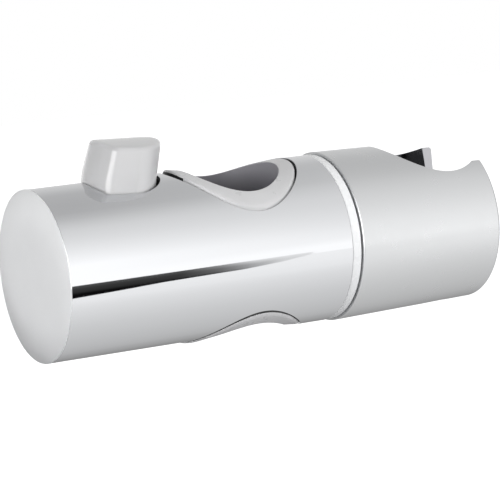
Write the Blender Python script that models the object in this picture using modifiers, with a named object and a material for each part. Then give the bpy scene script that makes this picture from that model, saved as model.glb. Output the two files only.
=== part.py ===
"""Shower rail slider with a thumb-lever brake and a swivelling handset holder.

Metres. +Z runs up the riser rail and +X runs towards the handset holder. The origin is where
the rail's axis crosses the slider's own axis.
"""

import math

import bmesh
import bpy
from mathutils import Vector

# Clearances
GAP = 0.0003  # between neighbouring pieces, fixed or running
EDGE = 0.0003  # small broken edge on turned pieces

# Facets round a full turn. A cutter's are turned a little, so that its edges miss the solid's.
ROUND = 48
SMALL_ROUND = 24
CUTTER_TURN = math.radians(2.5)

# Riser rail, and the bushes that line the rail bore at both ends
RAIL_RADIUS = 0.0125
BUSH_BORE = RAIL_RADIUS + 0.0001
BUSH_WALL = 0.0041
BUSH_RADIUS = BUSH_BORE + BUSH_WALL
BUSH_SEAT_GAP = 0.0005
BUSH_SEAT_RADIUS = BUSH_RADIUS + BUSH_SEAT_GAP
BUSH_PROUD = 0.0002
BUSH_RISE = 0.0003  # further out of the body on the lever side, and back in opposite it
BUSH_DISH = 0.0004  # how far the face falls towards the bore
BUSH_OUTER_ROUNDING = 0.0006
BUSH_INNER_ROUNDING = 0.0005
KEY_WIDTH = 0.0020
KEY_DEPTH = 0.0009
KEY_HEIGHT = 0.0036
MID_BORE_GAP = 0.0017  # round the rail, between the bushes
MID_BORE_RADIUS = RAIL_RADIUS + MID_BORE_GAP
BORE_TUBE_WALL = 0.0022
BORE_TUBE_RADIUS = BUSH_SEAT_RADIUS + BORE_TUBE_WALL

# Body tube
BODY_SIDE_WALL = 0.0048  # from a bush's side out to the body's side
BODY_RADIUS = BUSH_RADIUS + BODY_SIDE_WALL
BODY_WALL = 0.0024
BODY_BORE = BODY_RADIUS - BODY_WALL
RIB_END_COVER = 0.0006  # least wall left outside the end of a rib
BODY_END_WALL = 0.0062  # from the bush's seat to the holder's end of the body
BODY_END_X = BUSH_SEAT_RADIUS + BODY_END_WALL
CAVITY_END_X = -RAIL_RADIUS
OUTSIDE = BODY_RADIUS + 0.0085  # how far cutters reach

# Thumb lever: a button on a hub, with an arm down into the brake shoe
BUTTON_HALF_WIDTH = 0.0089
BUTTON_TRAVEL = 0.0011  # free slot in front of the button
SLOT_FRONT_WALL = 0.0007  # between the slot and the bore tube
BUTTON_BACK_LENGTH = 0.0093
BUTTON_BACK_TAPER = 0.0011
BUTTON_BACK_BULGE = 0.0022
BUTTON_CORNER = 0.0014
BUTTON_HEIGHT = 0.0097  # above the body tube
BUTTON_LEAN = 0.25  # forward lean per unit of height, above the body tube
BUTTON_TOP_INSET = 0.0004  # how much narrower its top is, all round
BUTTON_SLOPE = -0.05
BUTTON_CROWN_RADIUS = 0.0380
BUTTON_TOP_ROUNDING = 0.0011
BUTTON_CROWN_RINGS = (0.35, 0.65, 0.9)  # how far in each ring of the crown lies
CORE_WALL = 0.0022
CORE_RIB = 0.0026
CORE_ROOF = 0.0047
SLOT_SIDE_GAP = 0.0004
PIN_RADIUS = 0.0015
HUB_RADIUS = 0.0032
ARM_HALF_THICKNESS = 0.0021
ARM_HALF_WIDTH = 0.00275
ARM_NOSE_RADIUS = 0.0027
SLOT_FRONT_X = -(BORE_TUBE_RADIUS + GAP + SLOT_FRONT_WALL)
BUTTON_NOSE_X = SLOT_FRONT_X - BUTTON_TRAVEL - BUTTON_HALF_WIDTH
BUTTON_BACK_X = BUTTON_NOSE_X - BUTTON_BACK_LENGTH
BUTTON_BACK_HALF_WIDTH = BUTTON_HALF_WIDTH - BUTTON_BACK_TAPER
BUTTON_TOP_Z = BODY_RADIUS + BUTTON_HEIGHT

# Brake shoe, its guide channel and its rubber pad
SHOE_HALF_WIDTH = 0.0060
SHOE_HALF_HEIGHT = 0.0055
SHOE_TAIL = 0.0085  # behind the lever's arm
SHOE_EDGE = 0.0005
SHOE_FACE_GAP = 0.0009  # from the rail to the shoe itself
NOSE_POCKET_DEPTH = 0.0034
SPRING_POCKET_DEPTH = 0.0035
PAD_MARGIN = 0.0010
PAD_THICKNESS = 0.0038
PAD_PROUD = 0.0004  # how far the pad reaches past the rail's surface before a rail is in
PAD_GROOVE_SPACING = 0.0022
PAD_GROOVE_WIDTH = 0.0008
PAD_GROOVE_DEPTH = 0.0006
GUIDE_WALL = 0.0018
GUIDE_TAIL = 0.0050
GUIDE_LIP_REACH = 0.0014
GUIDE_LIP_THICKNESS = 0.0012
PIVOT_X = BUTTON_NOSE_X
PIVOT_Z = SHOE_HALF_HEIGHT + GAP + GUIDE_LIP_THICKNESS + GAP + HUB_RADIUS
SHOE_BACK_X = PIVOT_X - SHOE_TAIL
GUIDE_BACK_X = SHOE_BACK_X - GUIDE_TAIL
GUIDE_FRONT_X = -(MID_BORE_RADIUS + BORE_TUBE_RADIUS) / 2
PAD_FACE_RADIUS = RAIL_RADIUS - PAD_PROUD
PAD_BACK_X = -(PAD_FACE_RADIUS + PAD_THICKNESS)
PAD_HALF_WIDTH = SHOE_HALF_WIDTH - PAD_MARGIN
PAD_HALF_HEIGHT = SHOE_HALF_HEIGHT - PAD_MARGIN
SPRING_POCKET_X = SHOE_BACK_X + SPRING_POCKET_DEPTH

# Height of the ledges that the bushes stand on, clear of the brake shoe
LEDGE_CLEARANCE = 0.0040
LEDGE_Z = SHOE_HALF_HEIGHT + LEDGE_CLEARANCE

# Lugs that the lever's pin snaps into
LUG_CLEARANCE = 0.0010  # from the button's side to a lug
LUG_THICKNESS = 0.0022
LUG_HALF_WIDTH = 0.0034
LUG_MOUTH = 0.0026
LUG_INNER_Y = BUTTON_HALF_WIDTH + LUG_CLEARANCE
LUG_OUTER_Y = LUG_INNER_Y + LUG_THICKNESS
BUTTON_FOOT_Z = PIVOT_Z + 0.0021

# End cap
CAP_RIM = 0.0009
CAP_ROUNDING = 0.0006
CAP_PLATE = 0.0020
CAP_SKIRT_WALL = 0.0016
CAP_SKIRT_LENGTH = 0.0062
CAP_SKIRT_CLEARANCE = 0.0037  # to the guide channel
CAP_BEAD = 0.0004
CAP_BEAD_WIDTH = 0.0012
CAP_BEAD_INSET = 0.0016
CAP_RIB_COUNT = 6
CAP_RIB_WIDTH = 0.0012
CAP_RIB_HEIGHT = 0.0014
SPRING_SEAT_WALL = 0.0007
SPRING_SEAT_LENGTH = 0.0022
PEG_LENGTH = 0.0070
CAP_SKIRT_END_X = GUIDE_BACK_X - CAP_SKIRT_CLEARANCE
CAP_RIM_X = CAP_SKIRT_END_X - CAP_SKIRT_LENGTH
CAP_FACE_X = CAP_RIM_X - CAP_RIM
CAP_SKIRT_RADIUS = BODY_BORE - GAP
CAP_BEAD_X = CAP_SKIRT_END_X - CAP_BEAD_INSET
SPRING_SEAT_X = CAP_FACE_X + CAP_PLATE
BODY_START_X = CAP_RIM_X + GAP

# Springs
SPRING_WIRE = 0.00045
SPRING_RADIUS = 0.00345
SPRING_TURNS = 7.5
SPRING_POINTS_PER_TURN = 10

# Swivel: pale ring, spigot with its friction ring, and the screw stack
RING_WIDTH = 0.0023
RING_INSET = 0.00015
LIP_INSET = 0.0040
LIP_WIDTH = 0.0029
LIP_LENGTH = 0.0018
SPIGOT_RADIUS = 0.0085
SPIGOT_LENGTH = 0.0080
GROOVE_INSET = 0.0038
GROOVE_DEPTH = 0.0018
INSERT_RADIUS = 0.0033
INSERT_LENGTH = 0.0063
INSERT_WAIST_DEPTH = 0.0005
SCREW_RADIUS = 0.0019
SCREW_TIP_INSET = 0.0014
SCREW_HEAD_RADIUS = 0.0039
SCREW_HEAD_HEIGHT = 0.0020
SCREW_RECESS_WIDTH = 0.0009
SCREW_RECESS_LENGTH = 0.0042
SCREW_RECESS_DEPTH = 0.0011
WEB_THICKNESS = 0.0025
WEB_HOLE_GAP = 0.0007
WASHER_RADIUS = 0.0053
WASHER_EDGE = 0.00015
THRUST_WASHER = 0.0010
SCREW_WASHER = 0.0008
CHAMBER_GAP = 0.0004
SWIVEL_SPRING_LENGTH = 0.0034
SWIVEL_SPRING_RADIUS = 0.0040
SWIVEL_SPRING_TURNS = 2.6
COVER_THICKNESS = 0.0010
COVER_SKIRT = 0.0008
COVER_SKIRT_WALL = 0.0008
LIP_OUTER = BODY_RADIUS - LIP_INSET
LIP_INNER = LIP_OUTER - LIP_WIDTH
FRICTION_RING_SECTION = (GROOVE_DEPTH - GAP) / 2
GROOVE_WIDTH = 2 * (FRICTION_RING_SECTION + GAP)
GROOVE_START_X = BODY_END_X + GROOVE_INSET
SPIGOT_END_X = BODY_END_X + SPIGOT_LENGTH
INSERT_START_X = SPIGOT_END_X - GAP - INSERT_LENGTH
CHAMBER_RADIUS = WASHER_RADIUS + CHAMBER_GAP
WEB_START_X = SPIGOT_END_X + GAP
WEB_END_X = WEB_START_X + WEB_THICKNESS
THRUST_WASHER_X = WEB_END_X + GAP
SWIVEL_SPRING_X = THRUST_WASHER_X + THRUST_WASHER + GAP
SCREW_WASHER_X = SWIVEL_SPRING_X + SWIVEL_SPRING_LENGTH + GAP
SCREW_HEAD_X = SCREW_WASHER_X + SCREW_WASHER + GAP
COVER_X = SCREW_HEAD_X + SCREW_HEAD_HEIGHT + GAP
COVER_FACE_X = COVER_X + COVER_SKIRT + COVER_THICKNESS

# Handset holder
HOLDER_PROUD = 0.00045  # past the body tube, where they meet
HOLDER_DRAFT = 0.0009
HOLDER_END_ROUNDING = 0.0008
HOLDER_WALL = 0.0026
HOLDER_HUB_WALL = 0.0020
HOLDER_RIB_COUNT = 6
HOLDER_RIB_WIDTH = 0.0016
COVER_INSET = 0.0012  # from the socket's wall back to the screw cover
POCKET_END_WALL = 0.0057
SOCKET_RADIUS = 0.0118  # half-way up
SOCKET_TAPER = 0.22  # growth of the socket's radius per unit of height, up to its mouth
SOCKET_MOUTH_Z = 0.0080
SOCKET_MOUTH_TAPER = 0.072
SOCKET_INSET = 0.0106  # from the holder's end back to the socket's axis
SLOT_HALF_WIDTH = 0.0095  # half-way up
SLOT_TAPER = 0.142
HOLDER_RADIUS = BODY_RADIUS + HOLDER_PROUD
HOLDER_END_RADIUS = HOLDER_RADIUS - HOLDER_DRAFT
HOLDER_START_X = BODY_END_X + RING_WIDTH + 2 * GAP
SOCKET_X = COVER_FACE_X + COVER_INSET + SOCKET_RADIUS
HOLDER_END_X = SOCKET_X + SOCKET_INSET
POCKET_END_X = SOCKET_X - SOCKET_RADIUS - POCKET_END_WALL
SOCKET_MOUTH_RADIUS = SOCKET_RADIUS + SOCKET_TAPER * SOCKET_MOUTH_Z


def clear_scene():
    for obj in list(bpy.data.objects):
        bpy.data.objects.remove(obj)


def new_collection(name):
    collection = bpy.data.collections.new(name)
    bpy.context.scene.collection.children.link(collection)
    return collection


PARTS_NAME = "shower_rail_slider"
CUTTERS_NAME = "cutters"


def linear(channel):
    return channel / 12.92 if channel <= 0.04045 else ((channel + 0.055) / 1.055) ** 2.4


def finish(obj, label, colour, roughness, metallic=0.0):
    """Gives a piece its own material, from an sRGB hex colour."""
    rgb = [linear(int(colour[i : i + 2], 16) / 255) for i in (0, 2, 4)]
    material = bpy.data.materials.new(label)
    material.use_nodes = True
    shader = material.node_tree.nodes["Principled BSDF"]
    shader.inputs["Base Color"].default_value = (*rgb, 1.0)
    shader.inputs["Roughness"].default_value = roughness
    shader.inputs["Metallic"].default_value = metallic
    material.diffuse_color = (*rgb, 1.0)
    obj.data.materials.append(material)


def place(name, data, as_cutter=False):
    obj = bpy.data.objects.new(name, data)
    bpy.data.collections[CUTTERS_NAME if as_cutter else PARTS_NAME].objects.link(obj)
    if as_cutter:
        obj.hide_render = True
        obj.display_type = "WIRE"
    return obj


def mesh_from(name, bm, as_cutter=False):
    bmesh.ops.recalc_face_normals(bm, faces=bm.faces)
    mesh = bpy.data.meshes.new(name)
    bm.to_mesh(mesh)
    bm.free()
    mesh.shade_smooth()
    mesh.set_sharp_from_angle(angle=math.radians(32))
    return place(name, mesh, as_cutter)


def box(name, low, high, as_cutter=False, edge=0.0):
    """A box between two corners, with its edges rounded by edge."""
    bm = bmesh.new()
    bmesh.ops.create_cube(bm, size=1.0)
    low, high = Vector(low), Vector(high)
    bmesh.ops.scale(bm, vec=high - low, verts=bm.verts)
    bmesh.ops.translate(bm, vec=(low + high) / 2, verts=bm.verts)
    obj = mesh_from(name, bm, as_cutter)
    if edge:
        bevel = obj.modifiers.new("rounded edges", "BEVEL")
        bevel.width = edge
        bevel.segments = 2
    return obj


AXIS_TURN = {
    "X": (0, math.pi / 2, 0),
    "Y": (-math.pi / 2, 0, 0),
    "Z": (0, 0, 0),
}


def turned(name, profile, axis="X", steps=ROUND, closed=False, as_cutter=False):
    """Turns a profile of (place along the axis, radius) pairs about X, Y or Z.

    A solid's profile starts on the axis at its far end, runs out and back along its outer
    side, and ends on the axis. A ring's profile is closed and runs its outer side first.
    """
    bm = bmesh.new()
    turn = CUTTER_TURN if as_cutter else 0
    ahead, aside = math.cos(turn), math.sin(turn)
    verts = [bm.verts.new((radius * ahead, radius * aside, along)) for along, radius in profile]
    for first, second in zip(verts, verts[1:]):
        bm.edges.new((first, second))
    if closed:
        bm.edges.new((verts[-1], verts[0]))
    mesh = bpy.data.meshes.new(name)
    bm.to_mesh(mesh)
    bm.free()
    obj = place(name, mesh, as_cutter)
    obj.rotation_euler = AXIS_TURN[axis]
    screw = obj.modifiers.new("turn", "SCREW")
    screw.axis = "Z"
    screw.steps = steps
    screw.render_steps = steps
    screw.use_merge_vertices = True
    screw.merge_threshold = 0.00001
    return obj


def rod(name, start, end, radius, axis="X", centre=(0, 0, 0), steps=SMALL_ROUND, as_cutter=False):
    """A plain cylinder from start to end along an axis through centre."""
    profile = [(end, 0), (end, radius), (start, radius), (start, 0)]
    obj = turned(name, profile, axis, steps, as_cutter=as_cutter)
    obj.location = centre
    return obj


def combine(obj, other, operation="DIFFERENCE"):
    boolean = obj.modifiers.new(f"{operation.lower()} {other.name}", "BOOLEAN")
    boolean.operation = operation
    boolean.solver = "EXACT"
    boolean.object = other
    return obj


def cut(obj, *cutters):
    for cutter in cutters:
        combine(obj, cutter)


def join(obj, *helpers):
    for helper in helpers:
        combine(obj, helper, "UNION")


def on_axis(name, location, *pieces):
    """Hangs moving pieces on an empty that lies on their joint's axis."""
    empty = bpy.data.objects.new(name, None)
    bpy.data.collections[PARTS_NAME].objects.link(empty)
    empty.location = location
    empty.empty_display_size = 0.01
    bpy.context.view_layer.update()
    for piece in pieces:
        piece.parent = empty
        piece.matrix_parent_inverse = empty.matrix_world.inverted()


def loft(name, rings, wrap=False, as_cutter=False):
    """Skins rings of equally many points. A wrapped loft closes on itself, another gets caps."""
    bm = bmesh.new()
    loops = [[bm.verts.new(point) for point in ring] for ring in rings]
    pairs = list(zip(loops, loops[1:]))
    if wrap:
        pairs.append((loops[-1], loops[0]))
    else:
        bm.faces.new(loops[0])
        bm.faces.new(loops[-1])
    for near, far in pairs:
        for i, vert in enumerate(near):
            after = (i + 1) % len(near)
            bm.faces.new((vert, near[after], far[after], far[i]))
    return mesh_from(name, bm, as_cutter)


def arc(centre, radius, start, end, count):
    """Points on an arc in a plane, angles in degrees, both ends included."""
    angles = [math.radians(start + (end - start) * i / count) for i in range(count + 1)]
    return [(centre[0] + radius * math.cos(a), centre[1] + radius * math.sin(a)) for a in angles]


def rounded_corner(before, corner, after, radius, count=4):
    """The arc that rounds the corner between two straight runs."""
    corner = Vector(corner)
    back = (Vector(before) - corner).normalized()
    ahead = (Vector(after) - corner).normalized()
    half = back.angle(ahead) / 2
    reach = radius / math.tan(half)
    centre = corner + (back + ahead).normalized() * radius / math.sin(half)
    first, last = corner + back * reach - centre, corner + ahead * reach - centre
    start = math.degrees(math.atan2(first.y, first.x))
    sweep = -math.degrees(first.angle_signed(last))
    return arc(centre, radius, start, start + sweep, count)


def rib_reach(y):
    """Height at which a rib at y ends, inside the body tube's wall."""
    return math.sqrt((BODY_RADIUS - RIB_END_COVER) ** 2 - y**2)


def button_outline(nose_x, half_width, back_x, back_half_width, corner):
    """Plan of the thumb button: round front, drawn-in sides and a slightly bowed back."""
    front = arc((nose_x, 0), half_width, -90, 90, 20)
    back_corner = (back_x + BUTTON_BACK_BULGE, back_half_width)
    bow = (back_half_width**2 + BUTTON_BACK_BULGE**2) / (2 * BUTTON_BACK_BULGE)
    spread = math.degrees(math.asin(back_half_width / bow))
    back = arc((back_x + bow, 0), bow, 180 - spread, 180 + spread, 8)
    upper = rounded_corner(front[-1], back_corner, back[1], corner)
    lower = [(x, -y) for x, y in reversed(upper)]
    return front + upper + back[2:-2] + lower


def saddle_height(x, y):
    """Height of a bush's face, which follows the body tube and rises towards the lever."""
    return math.sqrt((BODY_RADIUS + BUSH_PROUD) ** 2 - y**2) - BUSH_RISE * x / BUSH_RADIUS


def rail_bush(name, side):
    """Collar with a saddle end that follows the body tube. side is 1 on top, -1 below."""
    foot = LEDGE_Z + GAP
    bow = 1 - math.sqrt(0.5)
    # Each entry is a radius and how far its ring lies below the saddle; None is the foot.
    section = [
        (BUSH_RADIUS, None),
        (BUSH_RADIUS, BUSH_OUTER_ROUNDING),
        (BUSH_RADIUS - bow * BUSH_OUTER_ROUNDING, bow * BUSH_OUTER_ROUNDING),
        (BUSH_RADIUS - BUSH_OUTER_ROUNDING, 0),
        (BUSH_BORE + BUSH_INNER_ROUNDING, BUSH_DISH),
        (BUSH_BORE + bow * BUSH_INNER_ROUNDING, BUSH_DISH + bow * BUSH_INNER_ROUNDING),
        (BUSH_BORE, BUSH_DISH + BUSH_INNER_ROUNDING),
        (BUSH_BORE, None),
    ]
    rings = []
    for radius, below in section:
        ring = []
        for x, y in arc((0, 0), radius, 0, 360, ROUND)[:-1]:
            z = foot if below is None else saddle_height(x, y) - below
            ring.append((x, y, side * z))
        rings.append(ring)
    bush = loft(name, rings, wrap=True)
    key_low, key_high = foot, foot + KEY_HEIGHT
    key = box(
        f"{name}_key",
        (BUSH_RADIUS - BUSH_WALL / 2, -KEY_WIDTH / 2, min(side * key_low, side * key_high)),
        (BUSH_RADIUS + KEY_DEPTH, KEY_WIDTH / 2, max(side * key_low, side * key_high)),
        as_cutter=True,
    )
    join(bush, key)
    finish(bush, f"grey moulded acetal {name}", "c9cbcb", 0.38)
    return bush


def rail_bore_cutter():
    profile = [
        (OUTSIDE, 0),
        (OUTSIDE, BUSH_SEAT_RADIUS),
        (LEDGE_Z, BUSH_SEAT_RADIUS),
        (LEDGE_Z, MID_BORE_RADIUS),
        (-LEDGE_Z, MID_BORE_RADIUS),
        (-LEDGE_Z, BUSH_SEAT_RADIUS),
        (-OUTSIDE, BUSH_SEAT_RADIUS),
        (-OUTSIDE, 0),
    ]
    return turned("rail_bore_cutter", profile, "Z", as_cutter=True)


def keyway_cutters():
    cutters = []
    for label, side in (("upper", 1), ("lower", -1)):
        near, far = side * (LEDGE_Z - GAP), side * (LEDGE_Z + KEY_HEIGHT + 3 * GAP)
        cutters.append(
            box(
                f"{label}_keyway_cutter",
                (BUSH_RADIUS, -KEY_WIDTH / 2 - GAP, min(near, far)),
                (BUSH_RADIUS + KEY_DEPTH + GAP, KEY_WIDTH / 2 + GAP, max(near, far)),
                as_cutter=True,
            )
        )
    return cutters


def lever_slot_cutter():
    outline = button_outline(
        BUTTON_NOSE_X + BUTTON_TRAVEL - SLOT_SIDE_GAP,
        BUTTON_HALF_WIDTH + SLOT_SIDE_GAP,
        BUTTON_BACK_X - SLOT_SIDE_GAP,
        BUTTON_BACK_HALF_WIDTH + SLOT_SIDE_GAP,
        BUTTON_CORNER + SLOT_SIDE_GAP,
    )
    rings = [[(x, y, z) for x, y in outline] for z in (BUTTON_FOOT_Z, OUTSIDE)]
    return loft("lever_slot_cutter", rings, as_cutter=True)


def bore_tube():
    """The moulded tube wall round the rail bore, trimmed to stay inside the body."""
    tube = rod("bore_tube", -OUTSIDE, OUTSIDE, BORE_TUBE_RADIUS, "Z", steps=ROUND, as_cutter=True)
    trim = rod(
        "bore_tube_trim", -OUTSIDE, OUTSIDE, rib_reach(0), "X", steps=ROUND, as_cutter=True
    )
    return combine(tube, trim, "INTERSECT")


def guide_ribs():
    """Channel for the brake shoe: a floor, two side rails and the lips over them."""
    inner = SHOE_HALF_WIDTH + GAP
    outer = inner + GUIDE_WALL
    floor_top = -SHOE_HALF_HEIGHT - GAP
    lip_low = SHOE_HALF_HEIGHT + GAP
    lip_high = lip_low + GUIDE_LIP_THICKNESS
    ribs = [
        box(
            "guide_floor",
            (GUIDE_BACK_X, -outer + EDGE, floor_top - GUIDE_WALL),
            (GUIDE_FRONT_X, outer - EDGE, floor_top),
            as_cutter=True,
        )
    ]
    for label, side in (("near", -1), ("far", 1)):
        low, high = sorted((side * inner, side * outer))
        ribs.append(
            box(
                f"{label}_guide_rail",
                (GUIDE_BACK_X, low, -rib_reach(outer)),
                (GUIDE_FRONT_X, high, lip_high),
                as_cutter=True,
            )
        )
        low, high = sorted((side * (inner - GUIDE_LIP_REACH), side * (outer - EDGE)))
        ribs.append(
            box(
                f"{label}_guide_lip",
                (GUIDE_BACK_X, low, lip_low),
                (GUIDE_FRONT_X, high, lip_high),
                as_cutter=True,
            )
        )
    return ribs


def pin_lugs():
    """A lug on each side of the lever, open to the end cap so that the pin snaps in."""
    lugs, holes = [], []
    for label, side in (("near", -1), ("far", 1)):
        low, high = sorted((side * LUG_INNER_Y, side * LUG_OUTER_Y))
        lugs.append(
            box(
                f"{label}_pin_lug",
                (PIVOT_X - LUG_HALF_WIDTH, low, PIVOT_Z - LUG_HALF_WIDTH),
                (PIVOT_X + LUG_HALF_WIDTH, high, rib_reach(LUG_OUTER_Y)),
                as_cutter=True,
            )
        )
        holes.append(
            box(
                f"{label}_pin_mouth_cutter",
                (PIVOT_X - 2 * LUG_HALF_WIDTH, low - GAP, PIVOT_Z - LUG_MOUTH / 2),
                (PIVOT_X, high + GAP, PIVOT_Z + LUG_MOUTH / 2),
                as_cutter=True,
            )
        )
    reach = LUG_OUTER_Y + GAP
    holes.append(
        rod(
            "pin_hole_cutter",
            -reach,
            reach,
            PIN_RADIUS + GAP,
            "Y",
            (PIVOT_X, 0, PIVOT_Z),
            as_cutter=True,
        )
    )
    return lugs, holes


def body_shell():
    """Chromed tube, with the rail bore across it and the swivel spigot on its end."""
    groove_end_x = GROOVE_START_X + GROOVE_WIDTH
    lip_floor_x = BODY_END_X - LIP_LENGTH - GAP
    bead_reach = CAP_BEAD_WIDTH / 2 + GAP
    profile = [
        (SPIGOT_END_X, 0),
        (SPIGOT_END_X, SPIGOT_RADIUS - EDGE),
        (SPIGOT_END_X - EDGE, SPIGOT_RADIUS),
        (groove_end_x, SPIGOT_RADIUS),
        (groove_end_x, SPIGOT_RADIUS - GROOVE_DEPTH),
        (GROOVE_START_X, SPIGOT_RADIUS - GROOVE_DEPTH),
        (GROOVE_START_X, SPIGOT_RADIUS),
        (BODY_END_X, SPIGOT_RADIUS),
        (BODY_END_X, LIP_INNER - GAP),
        (lip_floor_x, LIP_INNER - GAP),
        (lip_floor_x, LIP_OUTER + GAP),
        (BODY_END_X, LIP_OUTER + GAP),
        (BODY_END_X, BODY_RADIUS - EDGE),
        (BODY_END_X - EDGE, BODY_RADIUS),
        (BODY_START_X + EDGE, BODY_RADIUS),
        (BODY_START_X, BODY_RADIUS - EDGE),
        (BODY_START_X, BODY_BORE),
        (CAP_BEAD_X - bead_reach, BODY_BORE),
        (CAP_BEAD_X - bead_reach / 2, BODY_BORE + CAP_BEAD),
        (CAP_BEAD_X + bead_reach / 2, BODY_BORE + CAP_BEAD),
        (CAP_BEAD_X + bead_reach, BODY_BORE),
        (CAVITY_END_X, BODY_BORE),
        (CAVITY_END_X, 0),
    ]
    body = turned("body_shell", profile)
    lugs, pin_holes = pin_lugs()
    join(body, bore_tube(), *guide_ribs(), *lugs)
    window_y, window_z = SHOE_HALF_WIDTH + GAP, SHOE_HALF_HEIGHT + GAP
    window = box(
        "shoe_window_cutter",
        (-BORE_TUBE_RADIUS - GAP, -window_y, -window_z),
        (0, window_y, window_z),
        as_cutter=True,
    )
    insert_hole = rod(
        "insert_hole_cutter",
        INSERT_START_X - GAP,
        SPIGOT_END_X + GAP,
        INSERT_RADIUS + GAP,
        as_cutter=True,
    )
    cut(body, rail_bore_cutter(), window, lever_slot_cutter(), insert_hole)
    cut(body, *keyway_cutters(), *pin_holes)
    finish(body, "polished chrome on moulded ABS", "dfe1e3", 0.06, 1.0)
    return body


def end_cap():
    """Snap-in end disc with a skirt, stiffening ribs and the brake spring's seat and peg."""
    peg_radius = SPRING_RADIUS - SPRING_WIRE - 2 * GAP
    seat_inner = SPRING_RADIUS + SPRING_WIRE + GAP
    seat_outer = seat_inner + SPRING_SEAT_WALL
    seat_end_x = SPRING_SEAT_X + SPRING_SEAT_LENGTH
    peg_end_x = SPRING_SEAT_X + PEG_LENGTH
    skirt_inner = CAP_SKIRT_RADIUS - CAP_SKIRT_WALL
    half_bead = CAP_BEAD_WIDTH / 2
    face_edge = arc(
        (CAP_FACE_X + CAP_ROUNDING, BODY_RADIUS - CAP_ROUNDING), CAP_ROUNDING, 90, 180, 3
    )
    profile = [
        (peg_end_x, 0),
        (peg_end_x, peg_radius - EDGE),
        (peg_end_x - EDGE, peg_radius),
        (SPRING_SEAT_X, peg_radius),
        (SPRING_SEAT_X, seat_inner),
        (seat_end_x, seat_inner),
        (seat_end_x, seat_outer),
        (SPRING_SEAT_X, seat_outer),
        (SPRING_SEAT_X, skirt_inner),
        (CAP_SKIRT_END_X, skirt_inner),
        (CAP_SKIRT_END_X, CAP_SKIRT_RADIUS - EDGE),
        (CAP_SKIRT_END_X - EDGE, CAP_SKIRT_RADIUS),
        (CAP_BEAD_X + half_bead, CAP_SKIRT_RADIUS),
        (CAP_BEAD_X, CAP_SKIRT_RADIUS + CAP_BEAD),
        (CAP_BEAD_X - half_bead, CAP_SKIRT_RADIUS),
        (CAP_RIM_X, CAP_SKIRT_RADIUS),
        (CAP_RIM_X, BODY_RADIUS),
        *face_edge,
        (CAP_FACE_X, 0),
    ]
    cap = turned("end_cap", profile)
    rib_inner = (seat_inner + seat_outer) / 2
    rib_outer = skirt_inner + CAP_SKIRT_WALL / 2
    for i in range(CAP_RIB_COUNT):
        rib = box(
            f"cap_rib_{i + 1}",
            (SPRING_SEAT_X - CAP_PLATE / 2, -CAP_RIB_WIDTH / 2, rib_inner),
            (SPRING_SEAT_X + CAP_RIB_HEIGHT, CAP_RIB_WIDTH / 2, rib_outer),
            as_cutter=True,
        )
        rib.rotation_euler = (2 * math.pi * (i + 0.5) / CAP_RIB_COUNT, 0, 0)
        join(cap, rib)
    finish(cap, "pale grey moulded ABS cap", "d4d6d5", 0.45)
    return cap


def button_top(x, y):
    """Height of the button's crowned top, which falls away forwards and to both sides."""
    drop = BUTTON_CROWN_RADIUS - math.sqrt(BUTTON_CROWN_RADIUS**2 - y**2)
    return BUTTON_TOP_Z + BUTTON_SLOPE * (x - BUTTON_NOSE_X) - drop


def button():
    """Loft from the button's foot up its leaning sides and over its rounded, crowned top."""
    outline = button_outline(
        BUTTON_NOSE_X, BUTTON_HALF_WIDTH, BUTTON_BACK_X, BUTTON_BACK_HALF_WIDTH, BUTTON_CORNER
    )
    middle_x = (BUTTON_BACK_X + BUTTON_NOSE_X + BUTTON_HALF_WIDTH) / 2

    def drawn_in(inset):
        """The outline drawn in by a distance, towards the button's middle."""
        factor = 1 - inset / BUTTON_HALF_WIDTH
        return [(middle_x + (x - middle_x) * factor, y * factor) for x, y in outline]

    def leaning(x, y, z):
        return (x + BUTTON_LEAN * max(z - BODY_RADIUS, 0), y, z)

    rings = [[(x, y, z) for x, y in outline] for z in (BUTTON_FOOT_Z, BODY_RADIUS)]
    for turn in (0, math.pi / 6, math.pi / 3, math.pi / 2):
        inset = BUTTON_TOP_INSET + BUTTON_TOP_ROUNDING * (1 - math.cos(turn))
        below = BUTTON_TOP_ROUNDING * (1 - math.sin(turn))
        rings.append([leaning(x, y, button_top(x, y) - below) for x, y in drawn_in(inset)])
    for share in BUTTON_CROWN_RINGS:
        inner = drawn_in(share * BUTTON_HALF_WIDTH)
        rings.append([leaning(x, y, button_top(x, y)) for x, y in inner])
    return loft("release_lever", rings)


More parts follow.
